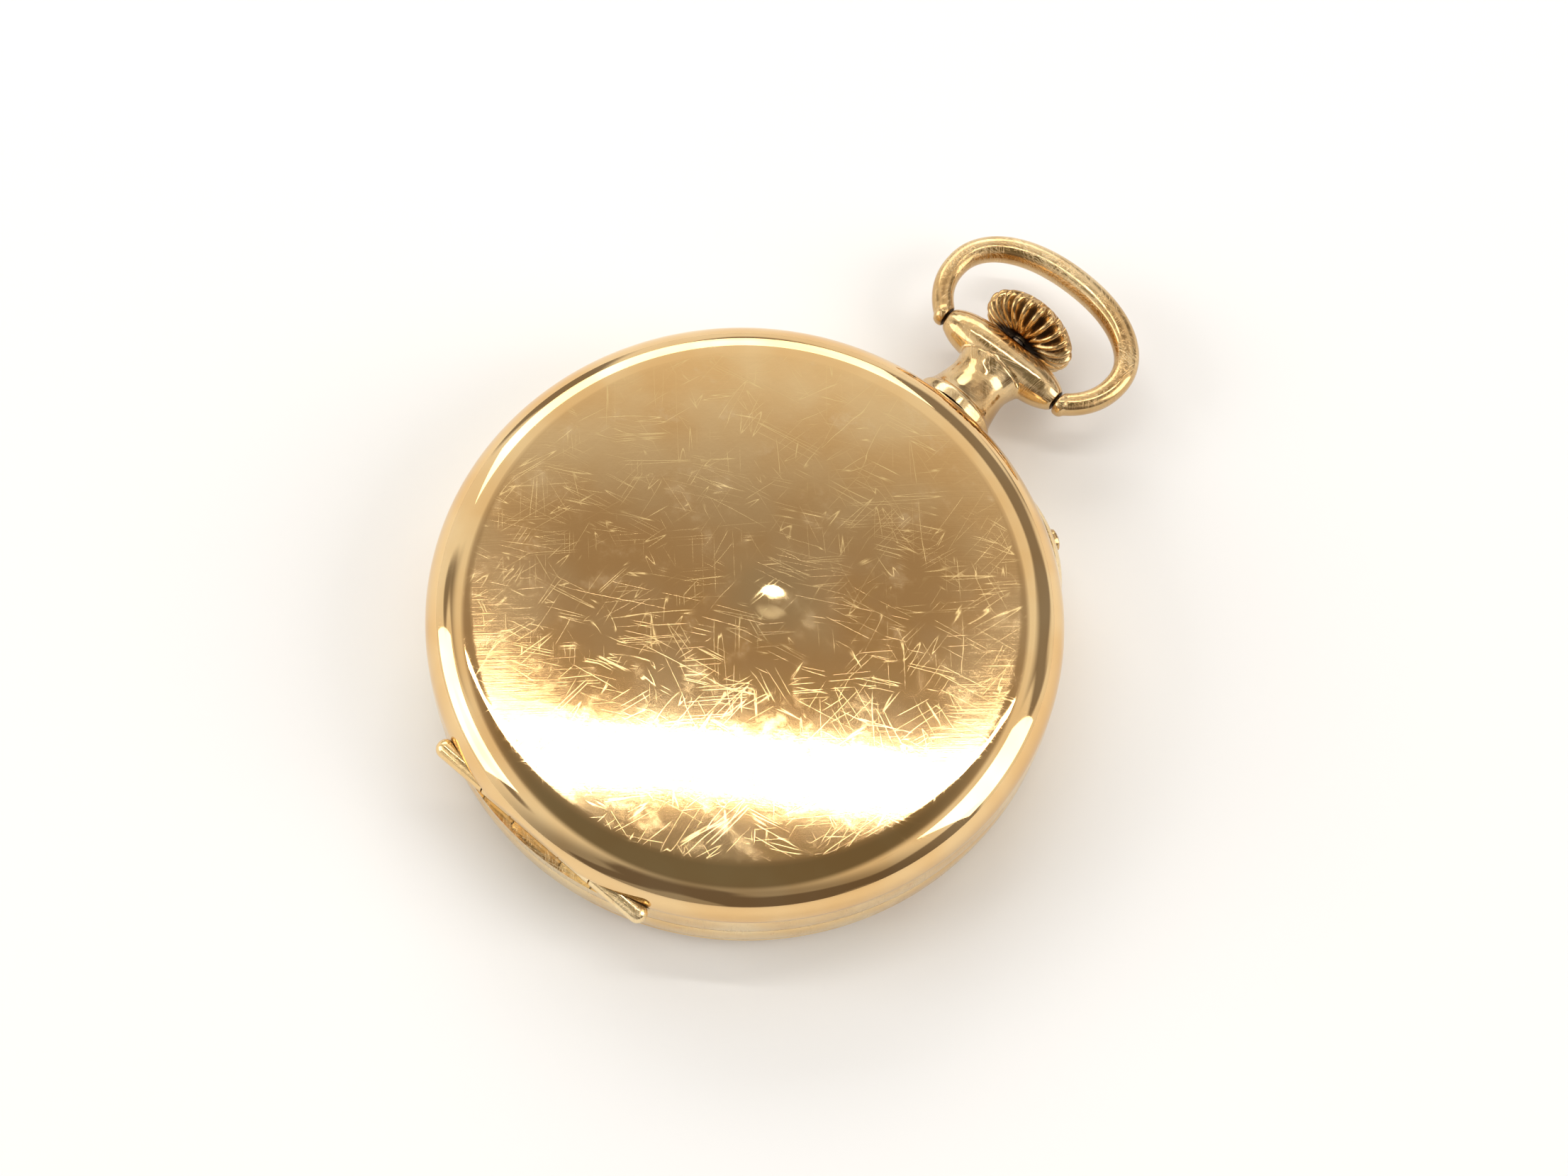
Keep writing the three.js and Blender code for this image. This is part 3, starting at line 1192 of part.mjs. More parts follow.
function ribbon(inner, outer, turns, thickness, height, z, steps) {
  const section = new THREE.Shape();
  section.moveTo(-height / 2, -thickness / 2);
  section.lineTo(height / 2, -thickness / 2);
  section.lineTo(height / 2, thickness / 2);
  section.lineTo(-height / 2, thickness / 2);
  section.closePath();
  const extrudePath = new Spiral(inner, outer, turns);
  const geometry = new THREE.ExtrudeGeometry(section, { steps, bevelEnabled: false, extrudePath });
  return solid(geometry.translate(0, 0, z));
}

function mainspring() {
  const height = BARREL_LID_Z - BARREL_Z - 0.25 - 0.25;
  const outer = BARREL_DRUM_RADIUS - BARREL_WALL - 0.35;
  return ribbon(2.2, outer, 3.5, 0.3, height, BARREL_Z + 0.25 + 0.12 + height / 2, 40);
}

// ---------------------------------------------------------------- going train

const BARREL_PHASE = 0;
const CENTRE_PINION_PHASE = meshPhase(BARREL, BARREL_TEETH, BARREL_PHASE, CENTRE, CENTRE_PINION_LEAVES);
const THIRD_PHASE = meshPhase(CENTRE, CENTRE_TEETH, 0, THIRD, THIRD_PINION_LEAVES);
const FOURTH_PHASE = meshPhase(THIRD, THIRD_TEETH, 0, FOURTH, FOURTH_PINION_LEAVES);
const ESCAPE_PHASE = meshPhase(FOURTH, FOURTH_TEETH, 0, ESCAPE, ESCAPE_PINION_LEAVES);

// A spoked wheel on its arbor with a pinion
function train(sizes) {
  const { teeth, gearModule, z, pinion, pinionModule, pinionPhase } = sizes;
  const { pinionZ, pinionTop, low, high, spokes } = sizes;
  const shape = wheelShape(teeth, gearModule);
  const rim = rootRadius(teeth, gearModule) - 0.55;
  const hub = (pinion * pinionModule) / 2 + 0.3;
  if (spokes) crossOut(shape, spokes, hub, rim, 0.5);
  const wheel = plate(shape, z, z + WHEEL_THICKNESS);
  const leaves = plate(pinionShape(pinion, pinionModule, pinionPhase), pinionZ, pinionTop);
  const arbor = turned(
    [
      [0, low],
      [PIVOT_RADIUS, low],
      [PIVOT_RADIUS, PLATE_TOP_Z + 0.05],
      [0.26, PLATE_TOP_Z + 0.05],
      [0.26, BRIDGE_Z - 0.05],
      [PIVOT_RADIUS, BRIDGE_Z - 0.05],
      [PIVOT_RADIUS, high],
      [0, high],
    ],
    TINY_ROUND,
  );
  return join(wheel, leaves, arbor);
}

const PIVOT_LOW = PLATE_TOP_Z - 0.4;
const PIVOT_HIGH = BRIDGE_TOP_Z - 0.1;

const centreWheel = () =>
  train({
    teeth: CENTRE_TEETH,
    gearModule: CENTRE_MODULE,
    z: CENTRE_Z,
    pinion: CENTRE_PINION_LEAVES,
    pinionModule: BARREL_MODULE,
    pinionPhase: CENTRE_PINION_PHASE,
    pinionZ: PLATE_TOP_Z + 0.06,
    pinionTop: THIRD_Z + 0.45,
    low: PIVOT_LOW,
    high: PIVOT_HIGH,
    spokes: 5,
  }).add(disc(ARBOR_RADIUS, MINUTE_HAND_Z, PLATE_TOP_Z + 0.1, TINY_ROUND));

const thirdWheel = () =>
  train({
    teeth: THIRD_TEETH,
    gearModule: THIRD_MODULE,
    z: THIRD_Z,
    pinion: THIRD_PINION_LEAVES,
    pinionModule: CENTRE_MODULE,
    pinionPhase: THIRD_PHASE,
    pinionZ: CENTRE_Z - 0.08,
    pinionTop: CENTRE_Z + WHEEL_THICKNESS + 0.08,
    low: PIVOT_LOW,
    high: PIVOT_HIGH,
    spokes: 5,
  });

const fourthWheel = () =>
  train({
    teeth: FOURTH_TEETH,
    gearModule: FOURTH_MODULE,
    z: FOURTH_Z,
    pinion: FOURTH_PINION_LEAVES,
    pinionModule: THIRD_MODULE,
    pinionPhase: FOURTH_PHASE,
    pinionZ: THIRD_Z - 0.08,
    pinionTop: THIRD_Z + WHEEL_THICKNESS + 0.08,
    low: SECONDS_HAND_Z,
    high: PIVOT_HIGH,
    spokes: 5,
  });

function escapeWheel() {
  const shape = toothedShape(ESCAPE_TEETH, ESCAPE_RADIUS, ESCAPE_RADIUS * 0.78, 0.1, 0.5);
  crossOut(shape, 4, 0.9, ESCAPE_RADIUS * 0.66, 0.4);
  const wheel = plate(shape, ESCAPE_Z, ESCAPE_Z + WHEEL_THICKNESS);
  const leaves = plate(
    pinionShape(ESCAPE_PINION_LEAVES, FOURTH_MODULE, ESCAPE_PHASE),
    FOURTH_Z - 0.08,
    FOURTH_Z + WHEEL_THICKNESS + 0.1,
  );
  const arbor = disc(PIVOT_RADIUS, PIVOT_LOW, PIVOT_HIGH, TINY_ROUND);
  return join(wheel, leaves, arbor);
}

// ---------------------------------------------------------------- escapement and balance

const ROLLER_PIN_RADIUS = 1.05;
const FORK_REACH = BALANCE_DISTANCE - PALLET_DISTANCE - ROLLER_PIN_RADIUS - 0.35;
const PALLET_ARM_ANGLE = 135;

// The pallet fork, about its pivot, with its lever along +X before it is turned into place
function palletFork() {
  const lever = plate(
    strap(new THREE.Vector2(0, 0), 0.55, new THREE.Vector2(FORK_REACH - 0.5, 0), 0.25, 5),
    ESCAPE_Z,
    ESCAPE_Z + 0.3,
  );
  const parts = [lever];
  for (const side of [-1, 1]) {
    const stoneReach = ESCAPE_RADIUS * 0.62;
    const foot = new THREE.Vector2(-PALLET_DISTANCE + ESCAPE_RADIUS + 0.24, side * stoneReach);
    const arm = strap(new THREE.Vector2(0, 0), 0.45, new THREE.Vector2(foot.x + 0.3, foot.y), 0.25, 4);
    parts.push(plate(arm, ESCAPE_Z, ESCAPE_Z + 0.3));
    const horn = strap(
      new THREE.Vector2(FORK_REACH - 0.5, side * 0.1),
      0.18,
      new THREE.Vector2(FORK_REACH - 0.1, side * 0.42),
      0.12,
      4,
    );
    parts.push(plate(horn, ESCAPE_Z, ESCAPE_Z + 0.3));
  }
  parts.push(disc(PIVOT_RADIUS, PIVOT_LOW, PALLET_COCK_Z + 0.25, TINY_ROUND));
  return join(...parts);
}

function balanceWheel() {
  const shape = new THREE.Shape();
  const rimSegments = 24;
  for (let i = 0; i < rimSegments; i += 1) {
    const point = polar(BALANCE_RADIUS, (360 * i) / rimSegments);
    if (i === 0) shape.moveTo(point.x, point.y);
    else shape.lineTo(point.x, point.y);
  }
  shape.closePath();
  const windows = new THREE.Shape().copy(shape);
  const spokeSteps = 7;
  const inner = 1.0;
  const outer = BALANCE_RADIUS - BALANCE_RIM;
  for (let i = 0; i < 2; i += 1) {
    const path = new THREE.Path();
    const half = 0.45;
    const startOuter = THREE.MathUtils.radToDeg(Math.asin(half / outer));
    const startInner = THREE.MathUtils.radToDeg(Math.asin(half / inner));
    for (let k = 0; k <= spokeSteps; k += 1) {
      const point = polar(outer, 180 * i + 180 - startOuter - ((180 - 2 * startOuter) * k) / spokeSteps);
      if (k === 0) path.moveTo(point.x, point.y);
      else path.lineTo(point.x, point.y);
    }
    for (let k = 0; k <= 4; k += 1) {
      const point = polar(inner, 180 * i + startInner + ((180 - 2 * startInner) * k) / 4);
      path.lineTo(point.x, point.y);
    }
    path.closePath();
    windows.holes.push(path);
  }
  const wheel = plate(windows, BALANCE_Z, BALANCE_Z + BALANCE_THICKNESS);
  return cut(wheel, hole(0.4, SEAT_GAP, BALANCE_Z - 1, BALANCE_Z + 1));
}

const ROLLER_Z = ESCAPE_Z + 0.3 + 0.25;

// The staff with its roller, the impulse pin under the roller, and the hairspring's collet
function balanceStaff() {
  const staff = turned(
    [
      [0, PLATE_Z + 0.5],
      [0.15, PLATE_Z + 0.5],
      [0.15, PLATE_TOP_Z + 0.1],
      [0.4, PLATE_TOP_Z + 0.1],
      [0.4, ROLLER_Z],
      [ROLLER_PIN_RADIUS + 0.35, ROLLER_Z],
      [ROLLER_PIN_RADIUS + 0.35, ROLLER_Z + 0.25],
      [0.4, ROLLER_Z + 0.25],
      [0.4, HAIRSPRING_Z - 0.06],
      [0.6, HAIRSPRING_Z - 0.06],
      [0.6, HAIRSPRING_Z + 0.18],
      [0.15, HAIRSPRING_Z + 0.18],
      [0.15, COCK_Z + COCK_THICKNESS - 0.1],
      [0, COCK_Z + COCK_THICKNESS - 0.1],
    ],
    12,
  );
  const pin = moved(
    turnedGeometry([[0, ESCAPE_Z], [0.15, ESCAPE_Z], [0.15, ROLLER_Z + 0.1], [0, ROLLER_Z + 0.1]], 8),
    ROLLER_PIN_RADIUS * Math.cos(-Math.PI / 4),
    ROLLER_PIN_RADIUS * Math.sin(-Math.PI / 4),
  );
  return join(staff, pin);
}

const hairspring = () => ribbon(0.95, BALANCE_RADIUS * 0.55, 4.5, 0.07, 0.12, HAIRSPRING_Z + 0.06, 54);

// The index that shortens or lengthens the hairspring, a ring and a pointer on the cock
function regulator() {
  const z0 = COCK_Z + COCK_THICKNESS + SEAT_GAP;
  const ring = disc(1.5, z0, z0 + 0.18);
  const pointer = plate(strap(new THREE.Vector2(0, 0), 0.6, polar(5.2, -75), 0.15, 4), z0, z0 + 0.18);
  return cut(join(ring, pointer), disc(1.0, z0 - 1, z0 + 1));
}

// ---------------------------------------------------------------- motion work, dial and hands

const CANNON_RADIUS = ARBOR_RADIUS + SEAT_GAP + 0.22;
const HOUR_TUBE_RADIUS = CANNON_RADIUS + TURNING_GAP + 0.24;
const MOTION_Z = PLATE_Z - 0.08;
const HOUR_WHEEL_Z = DIAL_TOP_Z + 0.08;
const MINUTE_WHEEL_Z = MOTION_Z - 0.25;

const MINUTE_PHASE = 0;
const CANNON_PHASE = meshPhase(MINUTE_WHEEL, MINUTE_TEETH, MINUTE_PHASE, CENTRE, CANNON_LEAVES);
const MINUTE_PINION_PHASE = meshPhase(CENTRE, HOUR_TEETH, 0, MINUTE_WHEEL, MINUTE_PINION_LEAVES);

function cannonPinion() {
  const leaves = plate(
    pinionShape(CANNON_LEAVES, MOTION_MODULE, CANNON_PHASE),
    MINUTE_WHEEL_Z - 0.05,
    MOTION_Z,
  );
  const pipe = disc(CANNON_RADIUS, MINUTE_HAND_Z, MOTION_Z);
  return cut(join(leaves, pipe), hole(ARBOR_RADIUS, 0.03, 0, PLATE_Z + 1));
}

function minuteWheel() {
  const wheel = plate(wheelShape(MINUTE_TEETH, MOTION_MODULE), MINUTE_WHEEL_Z, MOTION_Z);
  const leaves = plate(
    pinionShape(MINUTE_PINION_LEAVES, MINUTE_PINION_MODULE, MINUTE_PINION_PHASE),
    HOUR_WHEEL_Z - 0.03,
    MINUTE_WHEEL_Z + 0.05,
  );
  return cut(join(wheel, leaves), hole(0.3, TURNING_GAP, 0, PLATE_Z + 1, TINY_ROUND));
}

// The fixed stud that the minute wheel turns on, driven into the main plate
const minuteStud = () => disc(0.3, HOUR_WHEEL_Z, PLATE_Z + 0.75, TINY_ROUND);

function hourWheel() {
  const wheel = plate(wheelShape(HOUR_TEETH, MINUTE_PINION_MODULE), HOUR_WHEEL_Z, HOUR_WHEEL_Z + 0.22);
  const pipe = disc(HOUR_TUBE_RADIUS, HOUR_HAND_Z, HOUR_WHEEL_Z + 0.22);
  return cut(join(wheel, pipe), hole(CANNON_RADIUS, TURNING_GAP, 0, PLATE_Z + 1));
}

function dial() {
  return cut(
    disc(DIAL_RADIUS, DIAL_Z, DIAL_TOP_Z, ROUND),
    hole(HOUR_TUBE_RADIUS, 0.15, 0, DIAL_TOP_Z + 1),
    discAt(FOURTH, holeRadius(PIVOT_RADIUS, 0.15, TINY_ROUND), 0, DIAL_TOP_Z + 1, TINY_ROUND),
    discAt(FOURTH, SECONDS_RADIUS, 0, DIAL_Z + SECONDS_SINK, 20),
  );
}

// A spade hand along +Y: boss, stalk, disc and point
function spadeHand(length, tubeRadius, z, width) {
  const boss = disc(tubeRadius + 0.75, z, z + HAND_THICKNESS);
  const tip = new THREE.Vector2(0, length);
  const stalk = plate(strap(CENTRE, width * 1.5, tip, width * 0.4, 4), z, z + HAND_THICKNESS);
  const spade = plate(
    strap(new THREE.Vector2(0, length * 0.7), width * 3, new THREE.Vector2(0, length * 0.85), width * 0.6, 6),
    z,
    z + HAND_THICKNESS,
  );
  return cut(join(boss, stalk, spade), hole(tubeRadius, 0.03, 0, z + 1));
}

function secondsHand() {
  const z = SECONDS_HAND_Z;
  const needle = plate(
    strap(new THREE.Vector2(0, -1.2), 0.2, new THREE.Vector2(0, SECONDS_RADIUS - 0.5), 0.08, 4),
    z,
    z + HAND_THICKNESS,
  );
  return cut(join(needle, disc(0.55, z, z + HAND_THICKNESS)), hole(PIVOT_RADIUS, 0.03, 0, z + 1, TINY_ROUND));
}

// ---------------------------------------------------------------- click

function click() {
  const towards = BARREL.clone().sub(CLICK).rotateAround(CENTRE, CLICK_LEAN).setLength(CLICK_LENGTH);
  const z0 = RATCHET_Z;
  const body = plate(strap(new THREE.Vector2(0, 0), 0.95, towards, 0.2, 6), z0, z0 + RATCHET_THICKNESS);
  return cut(body, hole(SCREW_RADIUS, TURNING_GAP, z0 - 1, z0 + 1));
}

const RATCHET_PHASE = 0;
const CROWN_WHEEL_PHASE = meshPhase(BARREL, RATCHET_TEETH, RATCHET_PHASE, CROWN_WHEEL, CROWN_WHEEL_TEETH);

// Two wheels of one module mesh, so each has narrow teeth with flat gaps
const ratchetShape = (teeth, phase) =>
  toothedShape(
    teeth,
    (teeth / 2 + 0.75) * RATCHET_MODULE,
    (teeth / 2 - 1.1) * RATCHET_MODULE,
    0,
    0.62,
    phase,
  );

function ratchetWheel() {
  const wheel = plate(ratchetShape(RATCHET_TEETH, RATCHET_PHASE), RATCHET_Z, RATCHET_TOP_Z);
  return cut(wheel, hole(0.9, SEAT_GAP, RATCHET_Z - 1, RATCHET_TOP_Z + 1));
}

function crownWheel() {
  const wheel = plate(ratchetShape(CROWN_WHEEL_TEETH, CROWN_WHEEL_PHASE), RATCHET_Z, RATCHET_TOP_Z);
  return cut(wheel, hole(0.8, SEAT_GAP, RATCHET_Z - 1, RATCHET_TOP_Z + 1));
}

// The yoke that the setting pin pushes, a flat lever on the plate's dial side
function yoke() {
  const tip = polar(LEDGE_RADIUS - 1.6, OLIVETTE_ANGLE);
  const pivot = polar(MOVEMENT_RADIUS * 0.62, 40);
  const end = new THREE.Vector2(WINDING_PINION_RADIUS + 1.4, STEM_INNER_Y + 0.8);
  const z0 = DIAL_TOP_Z + 0.35;
  const z1 = PLATE_Z - 0.1;
  const fingers = plate(strap(pivot, 0.9, tip, 0.5, 6), z0, z1);
  const tail = plate(strap(pivot, 0.9, end, 0.45, 6), z0, z1);
  const lever = join(fingers, tail);
  return lever;
}

// ---------------------------------------------------------------- the watch

node('case_middle', caseMiddle(), gold);
node('pendant', pendant(), gold);
node('bow', bow(), gold);
node('crown', crown(), gold);
node('back_cover', backCover(), gold);
node('cuvette', cuvette(), gold);
node(
  'hinge_pin',
  hingeCylinder(HINGE_PIN_RADIUS, -HINGE_HALF_LENGTH + 0.6, HINGE_HALF_LENGTH - 1.1, TINY_ROUND),
  steel,
);
node('bezel', bezel(), gold);
node('crystal', crystal(), crystalGlass);
node('setting_pin', settingPin(), gold);

node('winding_stem', windingStem(), steel);
const windingPinion = stemPinion(
  WINDING_PINION_LEAVES,
  WINDING_PINION_RADIUS + 0.1,
  WINDING_PINION_RADIUS - 0.32,
  PINION_Y0,
  PINION_Y1,
);
node('winding_pinion', windingPinion, steel);
node('sliding_pinion', stemPinion(9, 1.25, 0.95, STEM_INNER_Y + 1.2, PINION_Y0 - 0.25), steel);
node('contrate_wheel', contrateWheel(), steel, CROWN_WHEEL);
node('crown_wheel', crownWheel(), steel, CROWN_WHEEL);
node('ratchet_wheel', ratchetWheel(), steel, BARREL);
node('click', click(), steel, CLICK);
node('yoke', yoke(), steel);

node('main_plate', mainPlate(), nickel);
node('barrel_bridge', barrelBridge(), nickel);
node('train_bridge', trainBridge(), nickel);
node('balance_cock', balanceCock(), nickel);
node('pallet_cock', palletCock(), nickel);

node('barrel', barrel(), brass, BARREL);
node('barrel_lid', barrelLid(), brass, BARREL);
node('barrel_arbor', barrelArbor(), steel, BARREL);
node('mainspring', mainspring(), steel, BARREL);

node('centre_wheel', centreWheel(), brass, CENTRE);
node('third_wheel', thirdWheel(), brass, THIRD);
node('fourth_wheel', fourthWheel(), brass, FOURTH);
node('escape_wheel', escapeWheel(), steel, ESCAPE);
node('pallet_fork', palletFork(), steel, PALLET).rotation.z = THREE.MathUtils.degToRad(PALLET_ARM_ANGLE);
node('balance_wheel', balanceWheel(), gilt, BALANCE);
node('balance_staff', balanceStaff(), steel, BALANCE);
node('hairspring', hairspring(), blued, BALANCE);
node('regulator', regulator(), steel, BALANCE);

node('cannon_pinion', cannonPinion(), steel, CENTRE);
node('minute_wheel', minuteWheel(), brass, MINUTE_WHEEL);
node('minute_wheel_stud', minuteStud(), steel, MINUTE_WHEEL);
node('hour_wheel', hourWheel(), brass, CENTRE);
node('dial', dial(), enamel);
node('hour_hand', spadeHand(DIAL_RADIUS * 0.5, HOUR_TUBE_RADIUS, HOUR_HAND_Z, 0.42), blued).rotation.z =
  THREE.MathUtils.degToRad(64);
node('minute_hand', spadeHand(DIAL_RADIUS * 0.78, CANNON_RADIUS, MINUTE_HAND_Z, 0.34), blued).rotation.z =
  THREE.MathUtils.degToRad(-58);
node('seconds_hand', secondsHand(), blued, FOURTH);

for (const [name, place] of [['centre', CENTRE], ['third', THIRD], ['fourth', FOURTH], ['escape', ESCAPE]]) {
  node(`${name}_jewel`, jewel(BRIDGE_TOP_Z - JEWEL_THICKNESS), ruby, place);
}
node('balance_jewel', jewel(COCK_Z + COCK_THICKNESS - JEWEL_THICKNESS), ruby, BALANCE);

const PLATE_SCREW_Z = PLATE_Z + 0.3;
BARREL_BRIDGE_SCREWS.forEach((place, i) =>
  node(`barrel_bridge_screw_${i + 1}`, screw(PLATE_SCREW_Z, BRIDGE_TOP_Z + SEAT_GAP), blued, place),
);
TRAIN_BRIDGE_SCREWS.forEach((place, i) =>
  node(`train_bridge_screw_${i + 1}`, screw(PLATE_SCREW_Z, BRIDGE_TOP_Z + SEAT_GAP), blued, place),
);
CASE_SCREWS.forEach((place, i) =>
  node(
    `case_screw_${i + 1}`,
    screw(PLATE_SCREW_Z, LEDGE_Z + LEDGE_THICKNESS + SEAT_GAP, SCREW_RADIUS, 1.2),
    blued,
    place,
  ),
);
node('balance_cock_screw', screw(PLATE_SCREW_Z, COCK_Z + COCK_THICKNESS + SEAT_GAP), blued, COCK_FOOT);
node('click_screw', screw(BRIDGE_Z + 0.1, RATCHET_TOP_Z + SEAT_GAP, SCREW_RADIUS, 0.85), blued, CLICK);

export default watch;
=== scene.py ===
# An open face pocket watch in yellow gold, lying on its crystal, seen from the back.
# Metres in the scene; MM turns a maker's millimetres into them.
import json
from math import asin, cos, pi, radians, sin, sqrt

import bmesh
import bpy
from mathutils import Matrix, Vector


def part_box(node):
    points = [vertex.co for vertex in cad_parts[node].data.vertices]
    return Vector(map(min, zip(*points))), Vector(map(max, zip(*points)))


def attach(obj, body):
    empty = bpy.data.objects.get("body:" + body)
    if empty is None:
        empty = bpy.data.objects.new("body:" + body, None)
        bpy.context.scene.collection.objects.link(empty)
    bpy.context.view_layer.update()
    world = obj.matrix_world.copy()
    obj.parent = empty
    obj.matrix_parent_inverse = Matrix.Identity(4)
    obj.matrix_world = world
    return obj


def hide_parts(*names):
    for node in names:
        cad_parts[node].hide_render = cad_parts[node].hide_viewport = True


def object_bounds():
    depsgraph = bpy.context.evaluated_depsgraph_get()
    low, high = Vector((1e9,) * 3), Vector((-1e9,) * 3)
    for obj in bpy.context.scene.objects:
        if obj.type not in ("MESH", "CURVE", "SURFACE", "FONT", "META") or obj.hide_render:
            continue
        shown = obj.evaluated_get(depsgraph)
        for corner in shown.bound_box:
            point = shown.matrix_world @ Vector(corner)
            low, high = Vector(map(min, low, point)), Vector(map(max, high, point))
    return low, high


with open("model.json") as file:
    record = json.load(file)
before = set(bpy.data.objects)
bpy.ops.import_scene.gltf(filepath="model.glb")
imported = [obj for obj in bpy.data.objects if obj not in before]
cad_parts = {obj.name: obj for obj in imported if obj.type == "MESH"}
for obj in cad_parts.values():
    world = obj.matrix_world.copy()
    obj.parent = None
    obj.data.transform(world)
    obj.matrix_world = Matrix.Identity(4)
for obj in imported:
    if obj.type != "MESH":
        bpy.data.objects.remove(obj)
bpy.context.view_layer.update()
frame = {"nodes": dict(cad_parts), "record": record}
MM = 0.001

# ---------------------------------------------------------------- camera
# A long lens, held high over the hinge side of the watch, with the pendant away to the upper right.
VIEW_TURN = radians(35.9)
VIEW_RISE = radians(66.8)
VIEW_ROLL = radians(5.48)
VIEW_DISTANCE = 239.4 * MM
VIEW_SHIFT = (2.87 * MM, 2.12 * MM)
LENS = 73.24
SENSOR = 36.0
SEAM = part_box("back_cover")[0][2] + 0.75 * MM

back = Vector((sin(VIEW_TURN) * cos(VIEW_RISE), -cos(VIEW_TURN) * cos(VIEW_RISE), sin(VIEW_RISE)))
level = Vector((cos(VIEW_TURN), sin(VIEW_TURN), 0.0))
upright = back.cross(level)
right = level * cos(VIEW_ROLL) + upright * sin(VIEW_ROLL)
up = upright * cos(VIEW_ROLL) - level * sin(VIEW_ROLL)
eye = Vector((0.0, 0.0, SEAM)) + back * VIEW_DISTANCE + right * VIEW_SHIFT[0] + up * VIEW_SHIFT[1]

camera_data = bpy.data.cameras.new("camera")
camera_data.lens = LENS
camera_data.sensor_width = SENSOR
camera_data.clip_start = 0.01
camera = bpy.data.objects.new("camera", camera_data)
turn = Matrix((right, up, back)).transposed().to_4x4()
camera.matrix_world = Matrix.Translation(eye) @ turn
bpy.context.scene.collection.objects.link(camera)
bpy.context.scene.camera = camera
bpy.context.scene.view_settings.view_transform = "Standard"


# ---------------------------------------------------------------- finishes
# Shader sums are written as sums: a Signal is one socket, and an expression on it adds Math nodes.
class Signal:
    def __init__(self, finish, socket):
        self.finish = finish
        self.socket = socket

    def _maths(self, operation, *terms):
        return self.finish.add("ShaderNodeMath", {"operation": operation}, dict(enumerate(terms)))

    def __add__(self, other):
        return self._maths("ADD", self, other)

    def __sub__(self, other):
        return self._maths("SUBTRACT", self, other)

    def __mul__(self, other):
        return self._maths("MULTIPLY", self, other)

    def __truediv__(self, other):
        return self._maths("DIVIDE", self, other)

    def __pow__(self, other):
        return self._maths("POWER", self, other)

    def __rsub__(self, other):
        return self._maths("SUBTRACT", other, self)

    def __rtruediv__(self, other):
        return self._maths("DIVIDE", other, self)

    __radd__ = __add__
    __rmul__ = __mul__

    def clamped(self):
        return self.finish.add("ShaderNodeClamp", {}, {0: self})

    def between(self, low, high):
        """0 below low, 1 above high, eased between them; low may be the larger."""
        settings = {"interpolation_type": "SMOOTHSTEP"}
        values = {"Value": self, "From Min": low, "From Max": high}
        return self.finish.add("ShaderNodeMapRange", settings, values)

    def near(self, value, width):
        """1 at the value, falling to 0 at width away."""
        return self._maths("ABSOLUTE", self - value).between(width, 0.0)

    def larger(self, other):
        return self._maths("MAXIMUM", self, other)


class Finish:
    def __init__(self, name, **constants):
        self.material = bpy.data.materials.new(name)
        self.material.use_nodes = True
        self.nodes = self.material.node_tree.nodes
        self.links = self.material.node_tree.links
        self.shader = self.nodes["Principled BSDF"]
        for socket, value in constants.items():
            self.shader.inputs[socket.replace("_", " ")].default_value = value
        self.whole = None

    def add(self, kind, settings, values, output=0):
        node = self.nodes.new(kind)
        for key, setting in settings.items():
            if key == "stops":
                ramp = node.color_ramp
                while len(ramp.elements) < len(setting):
                    ramp.elements.new(1.0)
                for element, (position, colour) in zip(ramp.elements, setting):
                    element.position = position
                    element.color = (*colour, 1.0)
            else:
                setattr(node, key, setting)
        for key, value in values.items():
            socket = node.inputs[key]
            if isinstance(value, Signal):
                self.links.new(value.socket, socket)
            else:
                socket.default_value = value
        return Signal(self, node.outputs[output])

    def place(self, turn=(0.0, 0.0, 0.0), scale=(1.0, 1.0, 1.0), centre=(0.0, 0.0, 0.0)):
        """Object coordinates in millimetres, turned and stretched for one pattern."""
        if self.whole is None:
            self.whole = self.add("ShaderNodeTexCoord", {}, {}, "Object")
        size = tuple(part / MM for part in scale)
        values = {"Vector": self.whole, "Location": centre, "Rotation": turn, "Scale": size}
        return self.add("ShaderNodeMapping", {"vector_type": "POINT"}, values)

    def noise(self, vector, scale, detail=2.0, rough=0.5, warp=0.0):
        values = {"Vector": vector, "Scale": scale, "Detail": detail, "Roughness": rough, "Distortion": warp}
        return self.add("ShaderNodeTexNoise", {"normalize": True}, values)

    def hairlines(self, degrees, length, spacing, width):
        """Fine, nearly straight lines along one heading in the XY plane."""
        if self.whole is None:
            self.place()
        values = {
            "Vector": self.whole,
            "Location": (degrees * 0.37 * MM, degrees * 0.11 * MM, 0.0),
            "Rotation": (0.0, 0.0, radians(degrees)),
            "Scale": (length * MM, spacing * MM, 4.0 * MM),
        }
        stretched = self.add("ShaderNodeMapping", {"vector_type": "TEXTURE"}, values)
        return self.noise(stretched, 1.0, 1.0).near(0.5, width)

    def mix(self, amount, first, second):
        settings = {"data_type": "RGBA", "blend_type": "MIX"}
        values = {0: amount}
        for key, colour in ((6, first), (7, second)):
            values[key] = colour if isinstance(colour, Signal) else (*colour, 1.0)
        return self.add("ShaderNodeMix", settings, values, 2)

    def feed(self, **signals):
        for name, signal in signals.items():
            self.links.new(signal.socket, self.shader.inputs[name.replace("_", " ")])

    def relief(self, height, depth, strength=1.0):
        """Height in 0..1 as a bump this many millimetres deep."""
        values = {"Strength": strength, "Distance": depth * MM, "Height": height}
        self.feed(Normal=self.add("ShaderNodeBump", {}, values))


